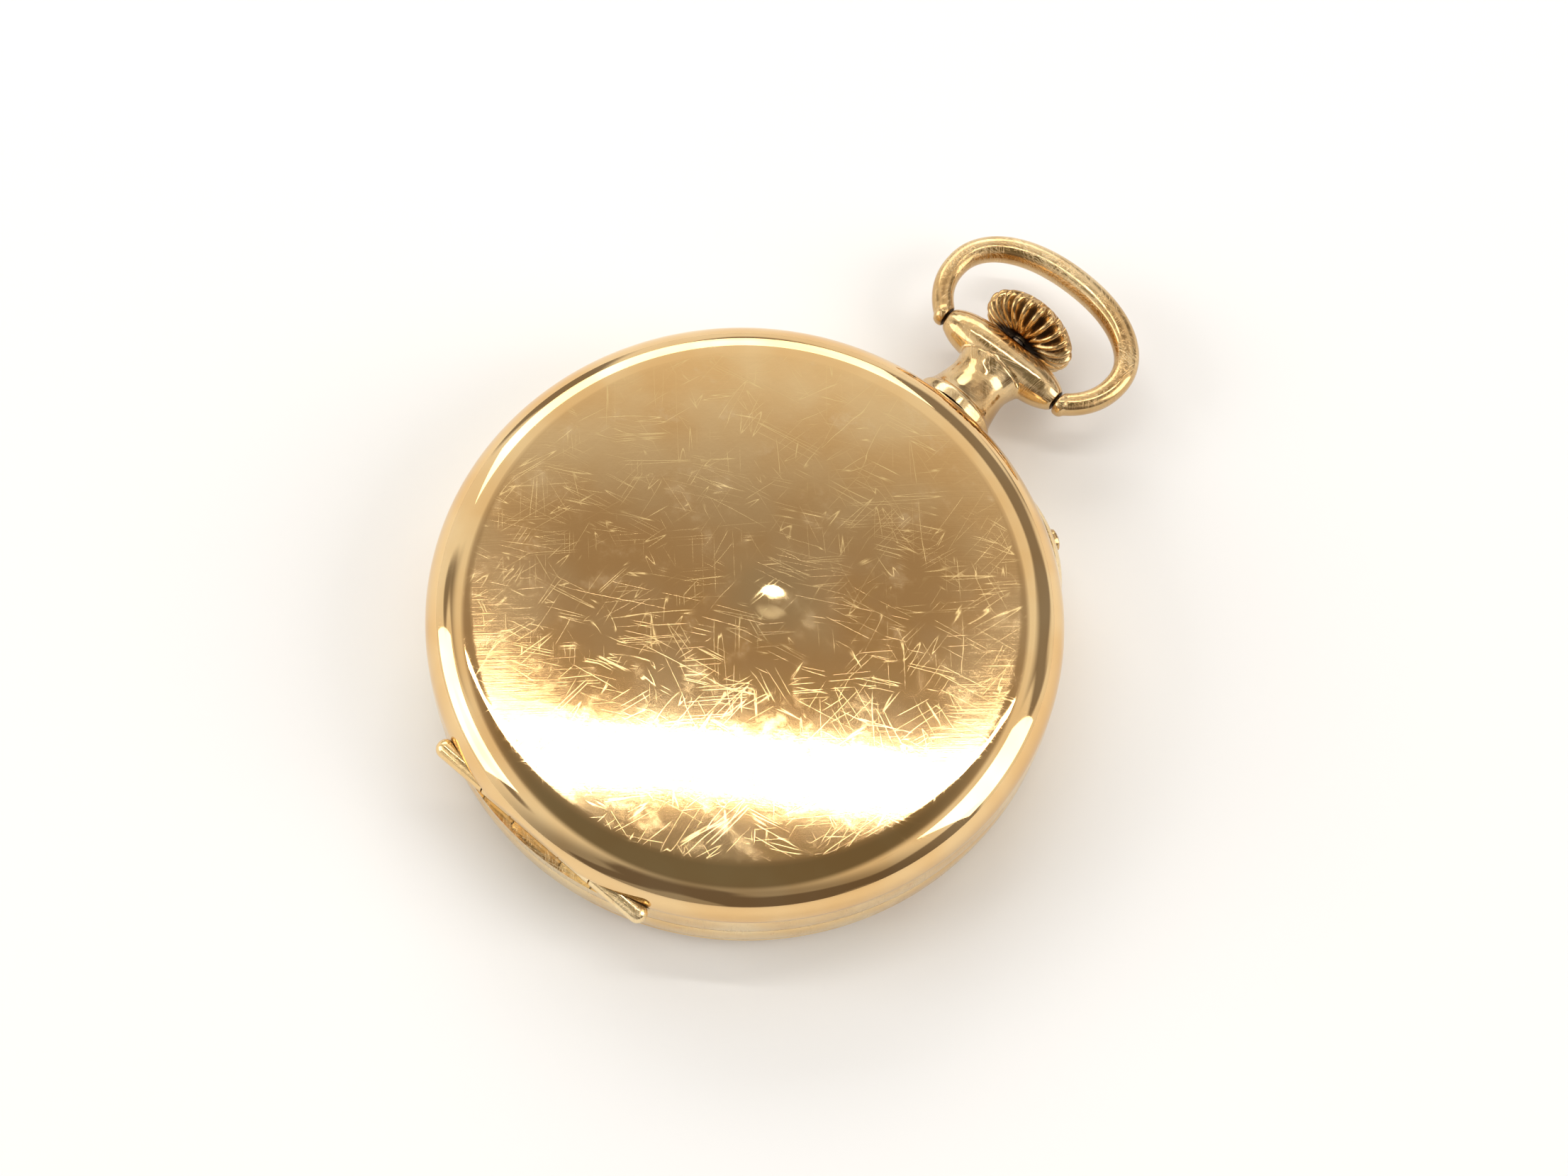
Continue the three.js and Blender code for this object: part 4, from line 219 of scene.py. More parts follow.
# ---------------------------------------------------------------- floor and light
# A plain white table, and a strip softbox that the satin disc mirrors as its bright band.
FLOOR_SIZE = 4.0
FLOOR_DROP = 0.02 * MM
floor_mesh = bmesh.new()
bmesh.ops.create_grid(floor_mesh, x_segments=1, y_segments=1, size=FLOOR_SIZE / 2)
floor_data = bpy.data.meshes.new("floor")
floor_mesh.to_mesh(floor_data)
floor_mesh.free()
floor = bpy.data.objects.new("floor", floor_data)
floor.location = (0.0, 0.0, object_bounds()[0][2] - FLOOR_DROP)
bpy.context.scene.collection.objects.link(floor)
table_white = Finish("table_white", Roughness=0.9)
table_tone = table_white.noise(table_white.place(), 0.02, 2.0)
table_white.feed(Base_Color=table_white.mix(table_tone, (0.95, 0.95, 0.95), (0.97, 0.97, 0.975)))
floor_data.materials.append(table_white.material)

LIGHT_HEADING = Vector((-sin(VIEW_TURN), cos(VIEW_TURN), 0.0))


def softbox(name, from_zenith, swing, distance, width, height, power, tint):
    """A rectangular light aimed at the watch; swing turns it about the zenith from the far side."""
    heading = LIGHT_HEADING.copy()
    heading.rotate(Matrix.Rotation(radians(swing), 3, "Z"))
    direction = heading * sin(radians(from_zenith)) + Vector((0.0, 0.0, cos(radians(from_zenith))))
    data = bpy.data.lights.new(name, "AREA")
    data.shape = "RECTANGLE"
    data.size = width
    data.size_y = height
    data.energy = power
    data.color = tint
    lamp = bpy.data.objects.new(name, data)
    side = Vector((0.0, 0.0, 1.0)).cross(heading)
    over = direction.cross(side)
    lamp.matrix_world = Matrix.Translation(direction * distance) @ (
        Matrix((side, over, direction)).transposed().to_4x4()
    )
    bpy.context.scene.collection.objects.link(lamp)


softbox("strip", 16.1, 0.0, 0.60, 0.50, 0.018, 0.50, (1.0, 0.97, 0.92))
softbox("far_window", 58.0, 14.0, 0.9, 0.9, 0.35, 2.4, (1.0, 0.98, 0.95))
softbox("left_window", 66.0, 96.0, 0.8, 0.5, 0.5, 2.2, (0.95, 0.98, 1.0))
softbox("right_window", 60.0, -100.0, 0.8, 0.4, 0.6, 2.2, (1.0, 0.97, 0.93))

# The room: bright walls low down, a dim warm ceiling, and dark toward whoever looks at it.
world = bpy.data.worlds.new("room")
bpy.context.scene.world = world
world.use_nodes = True
room_nodes = world.node_tree.nodes
room_links = world.node_tree.links


class Room(Finish):
    def __init__(self):
        self.nodes = room_nodes
        self.links = room_links
        self.whole = None


room = Room()
heading = room.add("ShaderNodeTexCoord", {}, {}, "Generated")
rise = room.add("ShaderNodeSeparateXYZ", {}, {0: heading}, "Z")
DARK_TILT = radians(12.0)
DARK_REACH = (cos(radians(34.0)), cos(radians(20.0)))
VIEWER_REACH = (0.35, 0.75)


def toward(direction):
    """How nearly a ray heads in a direction."""
    return room.add(
        "ShaderNodeVectorMath", {"operation": "DOT_PRODUCT"}, {0: heading, 1: tuple(direction)}, "Value"
    )


height_stops = [
    (0.0, (1.0, 1.0, 1.0)),
    (0.5, (1.0, 0.99, 0.97)),
    (0.855, (0.95, 0.91, 0.84)),
    (0.9, (0.42, 0.36, 0.30)),
    (1.0, (0.30, 0.245, 0.19)),
]
sky = room.add("ShaderNodeValToRGB", {"stops": height_stops}, {0: rise})
dark_middle = Vector((0.0, 0.0, cos(DARK_TILT))) - LIGHT_HEADING * sin(DARK_TILT)
room_colour = room.mix(toward(dark_middle).between(*DARK_REACH), sky, (0.20, 0.18, 0.14))
viewer_side = toward(-LIGHT_HEADING).between(*VIEWER_REACH)
room_colour = room.mix(viewer_side * 0.8, room_colour, (0.20, 0.17, 0.14))
furniture = room.noise(heading, 1.7, 1.0).between(0.5, 0.58) * rise.between(0.82, 0.62)
room_colour = room.mix(furniture * 0.8, room_colour, (0.13, 0.10, 0.08))
background = room_nodes["Background"]
room_links.new(room_colour.socket, background.inputs["Color"])
background.inputs["Strength"].default_value = 1.0

# ---------------------------------------------------------------- case middle
# The gold band between the cover and the bezel, turned from one ring, with the lens-shaped guard for the
# setting pin and the hinge's two outer knuckles soldered on.
CASE_RADIUS = 23.97
BORE_RADIUS = 21.6
RIM_RADIUS = 22.65
LEDGE_RADIUS = 20.0
BAND_BOTTOM = 2.16
BAND_TOP = 7.03
WIDE = 256
HINGE_Y = -22.65
HINGE_Z = 7.07
HINGE_LINE = (0.0, HINGE_Y, HINGE_Z)
HINGE_RADIUS = 0.75
HINGE_END = 10.2
HINGE_CLEAR = 0.83
HINGE_BORE = 0.37
OUTER_KNUCKLE = 5.34
NOMINAL_RADIUS = 24.0
STEM_HEIGHT = 4.61


def lathe(profile, steps=WIDE, axis="Z", through=(0.0, 0.0, 0.0)):
    """A closed solid from (radius, place along the axis) points in mm, spun about an axis through a point."""
    mesh = bmesh.new()
    verts = [mesh.verts.new((radius * MM, 0.0, along * MM)) for radius, along in profile]
    on_axis = abs(profile[0][0]) < 1e-6 and abs(profile[-1][0]) < 1e-6
    ends = verts if on_axis else verts + verts[:1]
    for first, second in zip(ends, ends[1:]):
        mesh.edges.new((first, second))
    bmesh.ops.spin(
        mesh,
        geom=mesh.verts[:] + mesh.edges[:],
        cent=(0.0, 0.0, 0.0),
        axis=(0.0, 0.0, 1.0),
        angle=2 * pi,
        steps=steps,
        use_merge=True,
    )
    bmesh.ops.remove_doubles(mesh, verts=mesh.verts, dist=1e-7)
    if axis == "X":
        bmesh.ops.rotate(mesh, verts=mesh.verts, matrix=Matrix.Rotation(pi / 2, 3, "Y"))
    if axis == "Y":
        bmesh.ops.rotate(mesh, verts=mesh.verts, matrix=Matrix.Rotation(-pi / 2, 3, "X"))
    bmesh.ops.translate(mesh, verts=mesh.verts, vec=Vector(through) * MM)
    bmesh.ops.recalc_face_normals(mesh, faces=mesh.faces)
    return mesh


def piece(name, mesh, sharp=38.0):
    """A bmesh as an object at the origin, smooth but for its sharp edges."""
    data = bpy.data.meshes.new(name)
    mesh.to_mesh(data)
    mesh.free()
    data.shade_smooth()
    data.set_sharp_from_angle(angle=radians(sharp))
    result = bpy.data.objects.new(name, data)
    bpy.context.scene.collection.objects.link(result)
    return result


def settle(target, sharp=38.0):
    """Turns the modifiers of a piece into its mesh."""
    graph = bpy.context.evaluated_depsgraph_get()
    data = bpy.data.meshes.new_from_object(target.evaluated_get(graph), depsgraph=graph)
    target.modifiers.clear()
    target.data = data
    data.shade_smooth()
    data.set_sharp_from_angle(angle=radians(sharp))
    return target


def work(target, tools, operation, sharp=38.0):
    """Solders or files one piece with others, which are used up."""
    for number, tool_mesh in enumerate(tools):
        tool = tool_mesh if isinstance(tool_mesh, bpy.types.Object) else piece(f"tool_{number}", tool_mesh)
        change = target.modifiers.new("work", "BOOLEAN")
        change.operation = operation
        change.solver = "EXACT"
        change.object = tool
        settle(target, sharp)
        bpy.data.objects.remove(tool)
    return target


def box(low, high):
    mesh = bmesh.new()
    bmesh.ops.create_cube(mesh, size=1.0)
    size = [b - a for a, b in zip(low, high)]
    middle = [(a + b) / 2 for a, b in zip(low, high)]
    bmesh.ops.scale(mesh, verts=mesh.verts, vec=Vector(size) * MM)
    bmesh.ops.translate(mesh, verts=mesh.verts, vec=Vector(middle) * MM)
    return mesh


def soften(target, width, segments=2, angle=35.0):
    """Takes the sharpness off a piece's edges, as polishing does."""
    change = target.modifiers.new("soften", "BEVEL")
    change.width = width * MM
    change.segments = segments
    change.limit_method = "ANGLE"
    change.angle_limit = radians(angle)
    change.harden_normals = False
    return target


def hinge_rod(radius, low, high, steps=32):
    return lathe([(0.0, low), (radius, low), (radius, high), (0.0, high)], steps, "X", HINGE_LINE)


def band_profile():
    outside = [
        (RIM_RADIUS, BAND_BOTTOM),
        (CASE_RADIUS - 0.32, BAND_BOTTOM),
        (CASE_RADIUS - 0.2, BAND_BOTTOM + 0.18),
        (CASE_RADIUS - 0.13, BAND_BOTTOM + 0.6),
        (CASE_RADIUS - 0.1, STEM_HEIGHT - 0.12),
        (CASE_RADIUS - 0.14, STEM_HEIGHT - 0.02),
        (CASE_RADIUS - 0.14, STEM_HEIGHT + 0.06),
        (CASE_RADIUS - 0.06, STEM_HEIGHT + 0.16),
        (CASE_RADIUS - 0.01, STEM_HEIGHT + 0.5),
        (CASE_RADIUS, STEM_HEIGHT + 1.1),
        (CASE_RADIUS - 0.01, BAND_TOP - 0.5),
        (CASE_RADIUS - 0.05, BAND_TOP - 0.1),
        (CASE_RADIUS - 0.14, BAND_TOP),
    ]
    inside = [
        (RIM_RADIUS, BAND_TOP),
        (RIM_RADIUS, 8.3),
        (BORE_RADIUS, 8.3),
        (BORE_RADIUS, 5.64),
        (LEDGE_RADIUS, 5.64),
        (LEDGE_RADIUS, 5.1),
        (BORE_RADIUS, 5.1),
        (BORE_RADIUS, 1.36),
        (RIM_RADIUS, 1.36),
    ]
    return outside + inside


case = piece("case_band", lathe(band_profile()))

GUARD_ANGLE = radians(59.0)
GUARD_HALF_ANGLE = radians(14.0)
GUARD_PROUD = 0.93
guard_chord = CASE_RADIUS * cos(GUARD_HALF_ANGLE)
guard_half = CASE_RADIUS * sin(GUARD_HALF_ANGLE)
guard_rise = CASE_RADIUS + GUARD_PROUD - guard_chord
GUARD_RADIUS = (guard_half**2 + guard_rise**2) / (2 * guard_rise)
GUARD_HALF_HEIGHT = 2.06
guard_reach = CASE_RADIUS + GUARD_PROUD - GUARD_RADIUS
guard_middle = (guard_reach * cos(GUARD_ANGLE), guard_reach * sin(GUARD_ANGLE), STEM_HEIGHT)
guard_edge = [
    (GUARD_RADIUS - 0.95 + 0.95 * cos(radians(step)) ** 0.8, GUARD_HALF_HEIGHT * sin(radians(step)))
    for step in range(-90, 91, 12)
]
guard = lathe([(0.0, -GUARD_HALF_HEIGHT), *guard_edge, (0.0, GUARD_HALF_HEIGHT)], 128, "Z", guard_middle)
guard = work(piece("guard", guard), [lathe([(0, 0), (23.0, 0), (23.0, 9), (0, 9)], 96)], "DIFFERENCE")
wings = []
for side in (-1, 1):
    rod = HINGE_RADIUS
    profile = [(0.0, OUTER_KNUCKLE), (rod, OUTER_KNUCKLE), (rod, HINGE_END - rod)]
    profile += [(rod * cos(radians(a)), HINGE_END - rod + rod * sin(radians(a))) for a in range(15, 90, 15)]
    profile += [(0.0, HINGE_END)]
    wings.append(lathe([(r, side * x) for r, x in profile], 32, "X", HINGE_LINE))
ledge_half = sqrt(NOMINAL_RADIUS**2 - HINGE_Y**2) + 0.4
ledge = box((-ledge_half, -26.0, 5.97), (ledge_half, HINGE_Y, 11.0))
web = box((-OUTER_KNUCKLE, -24.5, 6.24), (OUTER_KNUCKLE, -21.52, 9.3))
work(case, [ledge, web, hinge_rod(HINGE_CLEAR, -OUTER_KNUCKLE, OUTER_KNUCKLE)], "DIFFERENCE")
work(case, [guard, *wings], "UNION")


def spoke_rod(radius, low, high, steps=32):
    """A rod along the setting pin's radius."""
    mesh = lathe([(0.0, low), (radius, low), (radius, high), (0.0, high)], steps, "X")
    bmesh.ops.rotate(mesh, verts=mesh.verts, matrix=Matrix.Rotation(GUARD_ANGLE, 3, "Z"))
    bmesh.ops.translate(mesh, verts=mesh.verts, vec=Vector((0.0, 0.0, STEM_HEIGHT * MM)))
    return mesh


pipe_hole = lathe([(0, 18), (1.82, 18), (1.82, 26), (0, 26)], 48, "Y", (0.0, 0.0, STEM_HEIGHT))
wire_hole = hinge_rod(HINGE_BORE, -11.0, 9.2, 16)
work(case, [spoke_rod(0.98, 19.0, 28.0), pipe_hole, wire_hole], "DIFFERENCE")
soften(case, 0.05)
settle(case)

GOLD = (0.86, 0.60, 0.28)
PALE_GOLD = (0.93, 0.74, 0.44)
ROSE_GOLD = (0.74, 0.42, 0.21)
TARNISH = (0.50, 0.30, 0.12)
# The dark brown of grime, together with painted shade in hollows and gaps.
GRIME_SHADE_COLOUR = (0.10, 0.06, 0.03)


def worn_gold(name, roughness, wear, scratches, grime_and_shade=0.25, tarnish=0.0):
    """Polished gold with rubbed patches, fine scratches and tarnish, and grime with painted shade: an
    occlusion mask darkens its hollows and the gaps beside other parts.
    """
    finish = Finish(name, Metallic=1.0, IOR=1.45)
    cloud = finish.noise(finish.place(), 0.16, 3.0)
    patch = finish.noise(finish.place(centre=(31.0, 7.0, 3.0)), 0.9, 4.0, 0.6)
    speck = finish.noise(finish.place(centre=(3.0, 17.0, 9.0)), 5.0, 2.0)
    lines = None
    for heading, length, spacing, width in scratches:
        group = finish.hairlines(heading, length, spacing, width)
        where = finish.noise(finish.place(centre=(heading, 2.0, 5.0)), 0.35, 1.0).between(0.42, 0.62)
        lines = group * where if lines is None else lines.larger(group * where)
    tint = finish.mix(cloud.between(0.35, 0.65), GOLD, PALE_GOLD)
    tint = finish.mix(patch.between(0.6, 0.75) * 0.35, tint, ROSE_GOLD)
    tint = finish.mix((cloud.between(0.62, 0.4) * 0.4 + 0.6) * tarnish, tint, TARNISH)
    tint = finish.mix(lines * 0.35, tint, PALE_GOLD)
    # Painted shade: ambient occlusion darkens the gold towards dark brown, in patches, in hollows and in gaps
    # beside other parts; the same mask roughens it as grime.
    hollow = finish.add("ShaderNodeAmbientOcclusion", {"samples": 4}, {"Distance": 0.6 * MM}, "AO")
    grime_shade_mask = hollow.between(0.75, 0.25) * patch.between(0.3, 0.6) * grime_and_shade * 3.0
    tint = finish.mix(grime_shade_mask.clamped(), tint, GRIME_SHADE_COLOUR)
    level_rough = cloud.between(0.3, 0.7) * wear + patch.between(0.45, 0.75) * wear * 0.7 + roughness
    level_rough = level_rough + lines * 0.16 + grime_shade_mask.clamped() * 0.4 + speck.between(0.6, 0.8) * 0.05
    finish.feed(Base_Color=tint, Roughness=level_rough)
    surface = patch * 0.2 + speck * 0.06 - lines * 0.5
    finish.relief(surface, 0.012)
    return finish


BAND_SCRATCHES = [(15.0, 3.0, 0.09, 0.02), (80.0, 2.4, 0.08, 0.02), (130.0, 3.5, 0.1, 0.018)]
band_gold = worn_gold("band_gold", 0.06, 0.12, BAND_SCRATCHES)
case.data.materials.clear()
case.data.materials.append(band_gold.material)
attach(case, "case")
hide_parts("case_middle")

# ---------------------------------------------------------------- hinge pin
# A steel-hard gold wire pushed through all the knuckles and filed flush.
pin = piece("hinge_wire", hinge_rod(0.29, -9.3, 9.1, 24))
soften(pin, 0.04)
settle(pin)
pin.data.materials.append(band_gold.material)
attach(pin, "case")
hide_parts("hinge_pin")

# ---------------------------------------------------------------- back cover
# A spun and pressed gold shell: mirror-polished round its shoulder, with a satin disc that years of pockets
# have scratched. Something hard has dented it near the middle, and a crease runs out from the dent.
COVER_BOTTOM = 7.09
COVER_TOP = 10.66
SHOULDER = 3.5
DISC_RADIUS = CASE_RADIUS - SHOULDER
DISC_RISE = 0.32
COVER_WALL = 0.45
COVER_KNUCKLE = 2.3
HINGE_ROOM = 10.5
DENT = Vector((1.6, 1.0))
DENT_RADIUS = 1.5
DENT_DEPTH = 0.07
HOLLOW_RADIUS = 6.5
HOLLOW_DEPTH = 0.035
CREASE = [DENT, Vector((7.8, 1.3)), Vector((14.1, 1.9)), Vector((18.8, 7.5))]
CREASE_WIDTH = 0.5
CREASE_DEPTH = 0.006


def cover_outline(inset, disc_steps):
    """From the lower edge, round the shoulder and over the disc to the middle."""
    height = COVER_TOP - DISC_RISE - COVER_BOTTOM - inset
    reach = SHOULDER - inset
    points = []
    for step in range(25):
        angle = radians(90.0 * step / 24)
        points.append((DISC_RADIUS + reach * cos(angle) ** 0.96, COVER_BOTTOM + height * sin(angle) ** 0.96))
    for step in range(1, disc_steps + 1):
        radius = DISC_RADIUS * (1.0 - step / disc_steps)
        rise = DISC_RISE * (1.0 - (radius / DISC_RADIUS) ** 2)
        points.append((radius, COVER_BOTTOM + height + rise))
    return points


cover_points = list(reversed(cover_outline(COVER_WALL, 10))) + cover_outline(0.0, 84)
cover = piece("cover_shell", lathe(cover_points, 288))


def from_line(point, first, second):
    """Distance from a stretch of the crease, and the share of the way along it."""
    along = second - first
    share = max(0.0, min(1.0, (point - first).dot(along) / along.length_squared))
    return (point - first - along * share).length, share


for vertex in cover.data.vertices:
    spot = Vector((vertex.co.x, vertex.co.y)) / MM
    if vertex.co.z < (COVER_TOP - 0.42) * MM or spot.length > DISC_RADIUS:
        continue
    away = (spot - DENT).length
    sink = DENT_DEPTH * max(0.0, 1.0 - (away / DENT_RADIUS) ** 2) ** 1.6
    sink += HOLLOW_DEPTH * max(0.0, 1.0 - (away / HOLLOW_RADIUS) ** 2) ** 2
    for number, (first, second) in enumerate(zip(CREASE, CREASE[1:])):
        distance, share = from_line(spot, first, second)
        fade = 1.0 - 0.25 * (number + share)
        sink += CREASE_DEPTH * fade * max(0.0, 1.0 - distance / CREASE_WIDTH) ** 1.5
    vertex.co.z -= sink * MM

trim = box((-25.0, -26.0, 6.0), (25.0, -23.5, 12.0))
relief = hinge_rod(HINGE_CLEAR, -HINGE_ROOM, HINGE_ROOM)
below = box((-HINGE_ROOM, -26.0, 6.0), (HINGE_ROOM, -22.55, 7.82))
work(cover, [trim, relief, below], "DIFFERENCE")
tongue = box((-COVER_KNUCKLE, -23.18, HINGE_Z), (COVER_KNUCKLE, -22.27, 8.78))
work(cover, [tongue, hinge_rod(HINGE_RADIUS, -COVER_KNUCKLE, COVER_KNUCKLE)], "UNION")
work(cover, [hinge_rod(HINGE_BORE, -3.0, 3.0, 16)], "DIFFERENCE")
soften(cover, 0.045)
settle(cover, 30.0)

SATIN_SCRATCHES = [
    (12.0, 26.0, 0.9, 0.008),
    (74.0, 20.0, 1.1, 0.007),
    (46.0, 30.0, 0.8, 0.008),
    (101.0, 18.0, 1.3, 0.006),
    (133.0, 24.0, 1.0, 0.007),
    (160.0, 14.0, 1.2, 0.006),
    (28.0, 16.0, 0.7, 0.009),
    (88.0, 34.0, 1.6, 0.005),
]
cover_gold = Finish("cover_gold", Metallic=1.0, IOR=1.45)
whole = cover_gold.place()
apart = cover_gold.add("ShaderNodeSeparateXYZ", {}, {0: whole}, "X")
apart_y = Signal(cover_gold, apart.socket.node.outputs["Y"])
apart_z = Signal(cover_gold, apart.socket.node.outputs["Z"])
reach = (apart * apart + apart_y * apart_y) ** 0.5
wander = cover_gold.noise(whole, 0.25, 3.0) - 0.5
disc = (reach + wander * 0.4).between(20.7, 20.2) * apart_z.between(9.6, 10.0)
cloud = cover_gold.noise(cover_gold.place(centre=(4.0, 9.0, 0.0)), 0.11, 3.0)
haze = cover_gold.noise(cover_gold.place(centre=(14.0, 2.0, 7.0)), 0.35, 5.0, 0.65)
speck = cover_gold.noise(cover_gold.place(centre=(5.0, 1.0, 2.0)), 2.2, 2.0)
fine_lines = None
for heading, length, spacing, width in SATIN_SCRATCHES:
    group = cover_gold.hairlines(heading, length, spacing, width)
    where = cover_gold.noise(cover_gold.place(centre=(heading, 4.0, 1.0)), 0.28, 2.0).between(0.5, 0.6)
    fine_lines = group * where if fine_lines is None else fine_lines.larger(group * where)
brushing = cover_gold.hairlines(43.0, 5.0, 0.05, 0.3)
side_reach = cover_gold.place(turn=(0.0, 0.0, radians(-41.0)))
sideways = cover_gold.add("ShaderNodeSeparateXYZ", {}, {0: side_reach}, "X")
edges = (sideways * sideways).between(120.0, 360.0)
dent_place = (DENT.x, DENT.y, 10.5)
away = cover_gold.add("ShaderNodeVectorMath", {"operation": "DISTANCE"}, {0: whole, 1: dent_place}, "Value")
# Painted shade: the satin disc is tinted a darker olive round the dent.
dent_shade = (away + wander * 3.0).between(4.6, 1.6)
tint = cover_gold.mix(cloud.between(0.35, 0.65), (0.78, 0.50, 0.22), (0.84, 0.60, 0.31))
tint = cover_gold.mix(haze.between(0.55, 0.72) * disc * 0.3, tint, (0.90, 0.72, 0.46))
tint = cover_gold.mix(fine_lines * disc * 0.45, tint, (1.0, 0.80, 0.38))
tint = cover_gold.mix(dent_shade * disc * 0.3, tint, (0.50, 0.40, 0.22))
satin = haze.between(0.5, 0.7) * 0.05 + fine_lines * 0.13 + edges * 0.05 + 0.065
polish = haze.between(0.5, 0.75) * 0.04 + fine_lines * 0.08 + 0.03
cover_gold.feed(Base_Color=tint, Roughness=satin * disc + polish * (1 - disc))
brushed = brushing * (edges * 0.035 + 0.005)
surface = disc * (haze * 0.16 + speck * 0.05 + brushed) - fine_lines * disc * 0.03
cover_gold.relief(surface, 0.012)
cover.data.materials.clear()
cover.data.materials.append(cover_gold.material)
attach(cover, "cover")
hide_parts("back_cover")

# ---------------------------------------------------------------- bezel
# A gold ring snapped over the front of the case, which holds the crystal in its undercut.
BEZEL_BOTTOM = 0.5
bezel_points = [
    (21.05, BEZEL_BOTTOM),
    (21.6, BEZEL_BOTTOM),
    (22.15, 0.62),
    (22.7, 0.78),
    (23.1, 0.98),
    (23.42, 1.24),
    (23.6, 1.52),
    (23.68, 1.78),
    (23.66, 1.98),
    (23.58, 2.08),
    (22.7, 2.08),
    (22.7, 1.3),
    (21.48, 1.3),
    (21.48, 1.98),
    (20.65, 1.98),
    (20.35, 1.58),
    (20.35, 0.95),
    (21.05, 0.95),
]
bezel = piece("bezel_ring", lathe(bezel_points), 30.0)
soften(bezel, 0.06)
settle(bezel)
bezel_gold = worn_gold("bezel_gold", 0.07, 0.1, BAND_SCRATCHES)
bezel.data.materials.append(bezel_gold.material)
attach(bezel, "case")
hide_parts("bezel")

# ---------------------------------------------------------------- crystal
# A low-domed glass with a ground edge, sprung into the bezel. The watch lies on it.
crystal_points = [(0.0, 0.0), (19.8, 0.0), (20.2, 0.03), (20.55, 0.12), (20.85, 0.28), (20.95, 0.45)]
crystal_points += [(20.95, 0.88), (20.3, 0.9), (0.0, 0.9)]
crystal = piece("glass", lathe(crystal_points), 30.0)
glass = Finish("glass", Metallic=1.0, Base_Color=(0.93, 0.97, 0.98, 1.0))
glass.material.blend_method = "BLEND"
smear = glass.noise(glass.place(), 0.25, 4.0, 0.6)
nick = glass.hairlines(23.0, 6.0, 0.2, 0.008).larger(glass.hairlines(117.0, 4.0, 0.25, 0.008))
shine = glass.add("ShaderNodeFresnel", {}, {"IOR": 1.5})
glass.feed(Alpha=(shine + smear.between(0.5, 0.8) * 0.02 + nick * 0.08 + 0.01).clamped())
glass.feed(Roughness=smear.between(0.4, 0.8) * 0.05 + nick * 0.2 + 0.01)
crystal.data.materials.append(glass.material)
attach(crystal, "case")
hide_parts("crystal")

# ---------------------------------------------------------------- pendant
# The neck and its spindle-shaped head are cast in one and soldered to the band. The winding stem runs down
# the tube inside it, and the bow's pins sit in the head's two ends.
NECK = [
    (0.0, 22.95),
    (3.42, 22.95),
    (3.42, 24.75),
    (3.36, 24.95),
    (3.18, 25.08),
    (3.12, 25.25),
    (2.97, 25.6),
    (2.84, 26.1),
    (2.68, 26.8),
    (2.56, 27.6),
    (2.57, 28.2),
    (2.72, 28.8),
    (2.9, 29.2),
    (0.0, 30.5),
]
HEAD_HALF = 5.46
HEAD = [(1.84, 0.0), (1.83, 0.8), (1.81, 1.6), (1.77, 2.4), (1.7, 3.1), (1.6, 3.7), (1.47, 4.25)]
HEAD += [(1.28, 4.75), (1.08, 5.15), (0.95, 5.35), (0.84, HEAD_HALF)]
HEAD_Y = 30.8
HEAD_PLACE = (0.0, HEAD_Y, STEM_HEIGHT)
STEM_LINE = (0.0, 0.0, STEM_HEIGHT)


def melt(target, grain, passes, sharp=60.0):
    """Runs soldered parts into one skin with small fillets."""
    skin = target.modifiers.new("melt", "REMESH")
    skin.mode = "VOXEL"
    skin.voxel_size = grain * MM
    smooth = target.modifiers.new("ease", "SMOOTH")
    smooth.iterations = passes
    smooth.factor = 0.5
    return settle(target, sharp)


head_profile = [(0.0, -HEAD_HALF), *[(r, -x) for r, x in reversed(HEAD[1:])], *HEAD, (0.0, HEAD_HALF)]
pendant = piece("pendant_neck", lathe(NECK, 96, "Y", STEM_LINE))
work(pendant, [lathe(head_profile, 96, "X", HEAD_PLACE)], "UNION")
melt(pendant, 0.085, 10)
pipe = lathe([(0, 21.7), (1.68, 21.7), (1.68, 30.5), (0, 30.5)], 48, "Y", STEM_LINE)
saddle = lathe([(0, -2), (24.02, -2), (24.02, 12), (0, 12)], WIDE)
work(pendant, [saddle], "DIFFERENCE", 50.0)
work(pendant, [pipe], "UNION", 50.0)
bore = lathe([(0, 15), (0.86, 15), (0.86, 36), (0, 36)], 32, "Y", STEM_LINE)


def cross_rods(radius, low, high):
    """Two rods on the bow's pivot line, one each side of the stem."""
    return [
        lathe([(0, s * low), (radius, s * low), (radius, s * high), (0, s * high)], 24, "X", HEAD_PLACE)
        for s in (-1, 1)
    ]


work(pendant, [bore, *cross_rods(0.48, 3.98, 7)], "DIFFERENCE", 50.0)
# Painted shade darkens the neck and head in their hollows and in the gap under the crown.
neck_gold = worn_gold("neck_gold", 0.05, 0.1, BAND_SCRATCHES, grime_and_shade=0.9, tarnish=0.75)
pendant.data.materials.clear()
pendant.data.materials.append(neck_gold.material)
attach(pendant, "case")
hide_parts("pendant")

# ---------------------------------------------------------------- crown
# A hollow, ribbed winding button. Its lobes are pressed in, and painted shade in the grooves between them
# leaves their tops looking bright.
CROWN_LOW = 32.81
CROWN_LOBES = 22
LOBE_DEPTH = 0.6
LOBE_RISE = 0.35
CROWN_SHOULDER = 1.75
CROWN_PROFILE = [
    (0.0, 0.0),
    (1.45, 0.0),
    (1.62, 0.02),
    (2.3, 0.1),
    (2.9, 0.22),
    (3.4, 0.42),
    (3.78, 0.7),
    (3.98, 1.02),
    (4.06, 1.36),
    (4.06, 1.62),
    (3.98, 1.82),
    (3.82, 2.02),
    (3.6, 2.22),
    (3.3, 2.45),
    (2.9, 2.68),
    (2.4, 2.9),
    (1.8, 3.09),
    (1.0, 3.25),
    (0.0, 3.3),
]
crown_mesh = lathe(CROWN_PROFILE, CROWN_LOBES * 14, "Z")
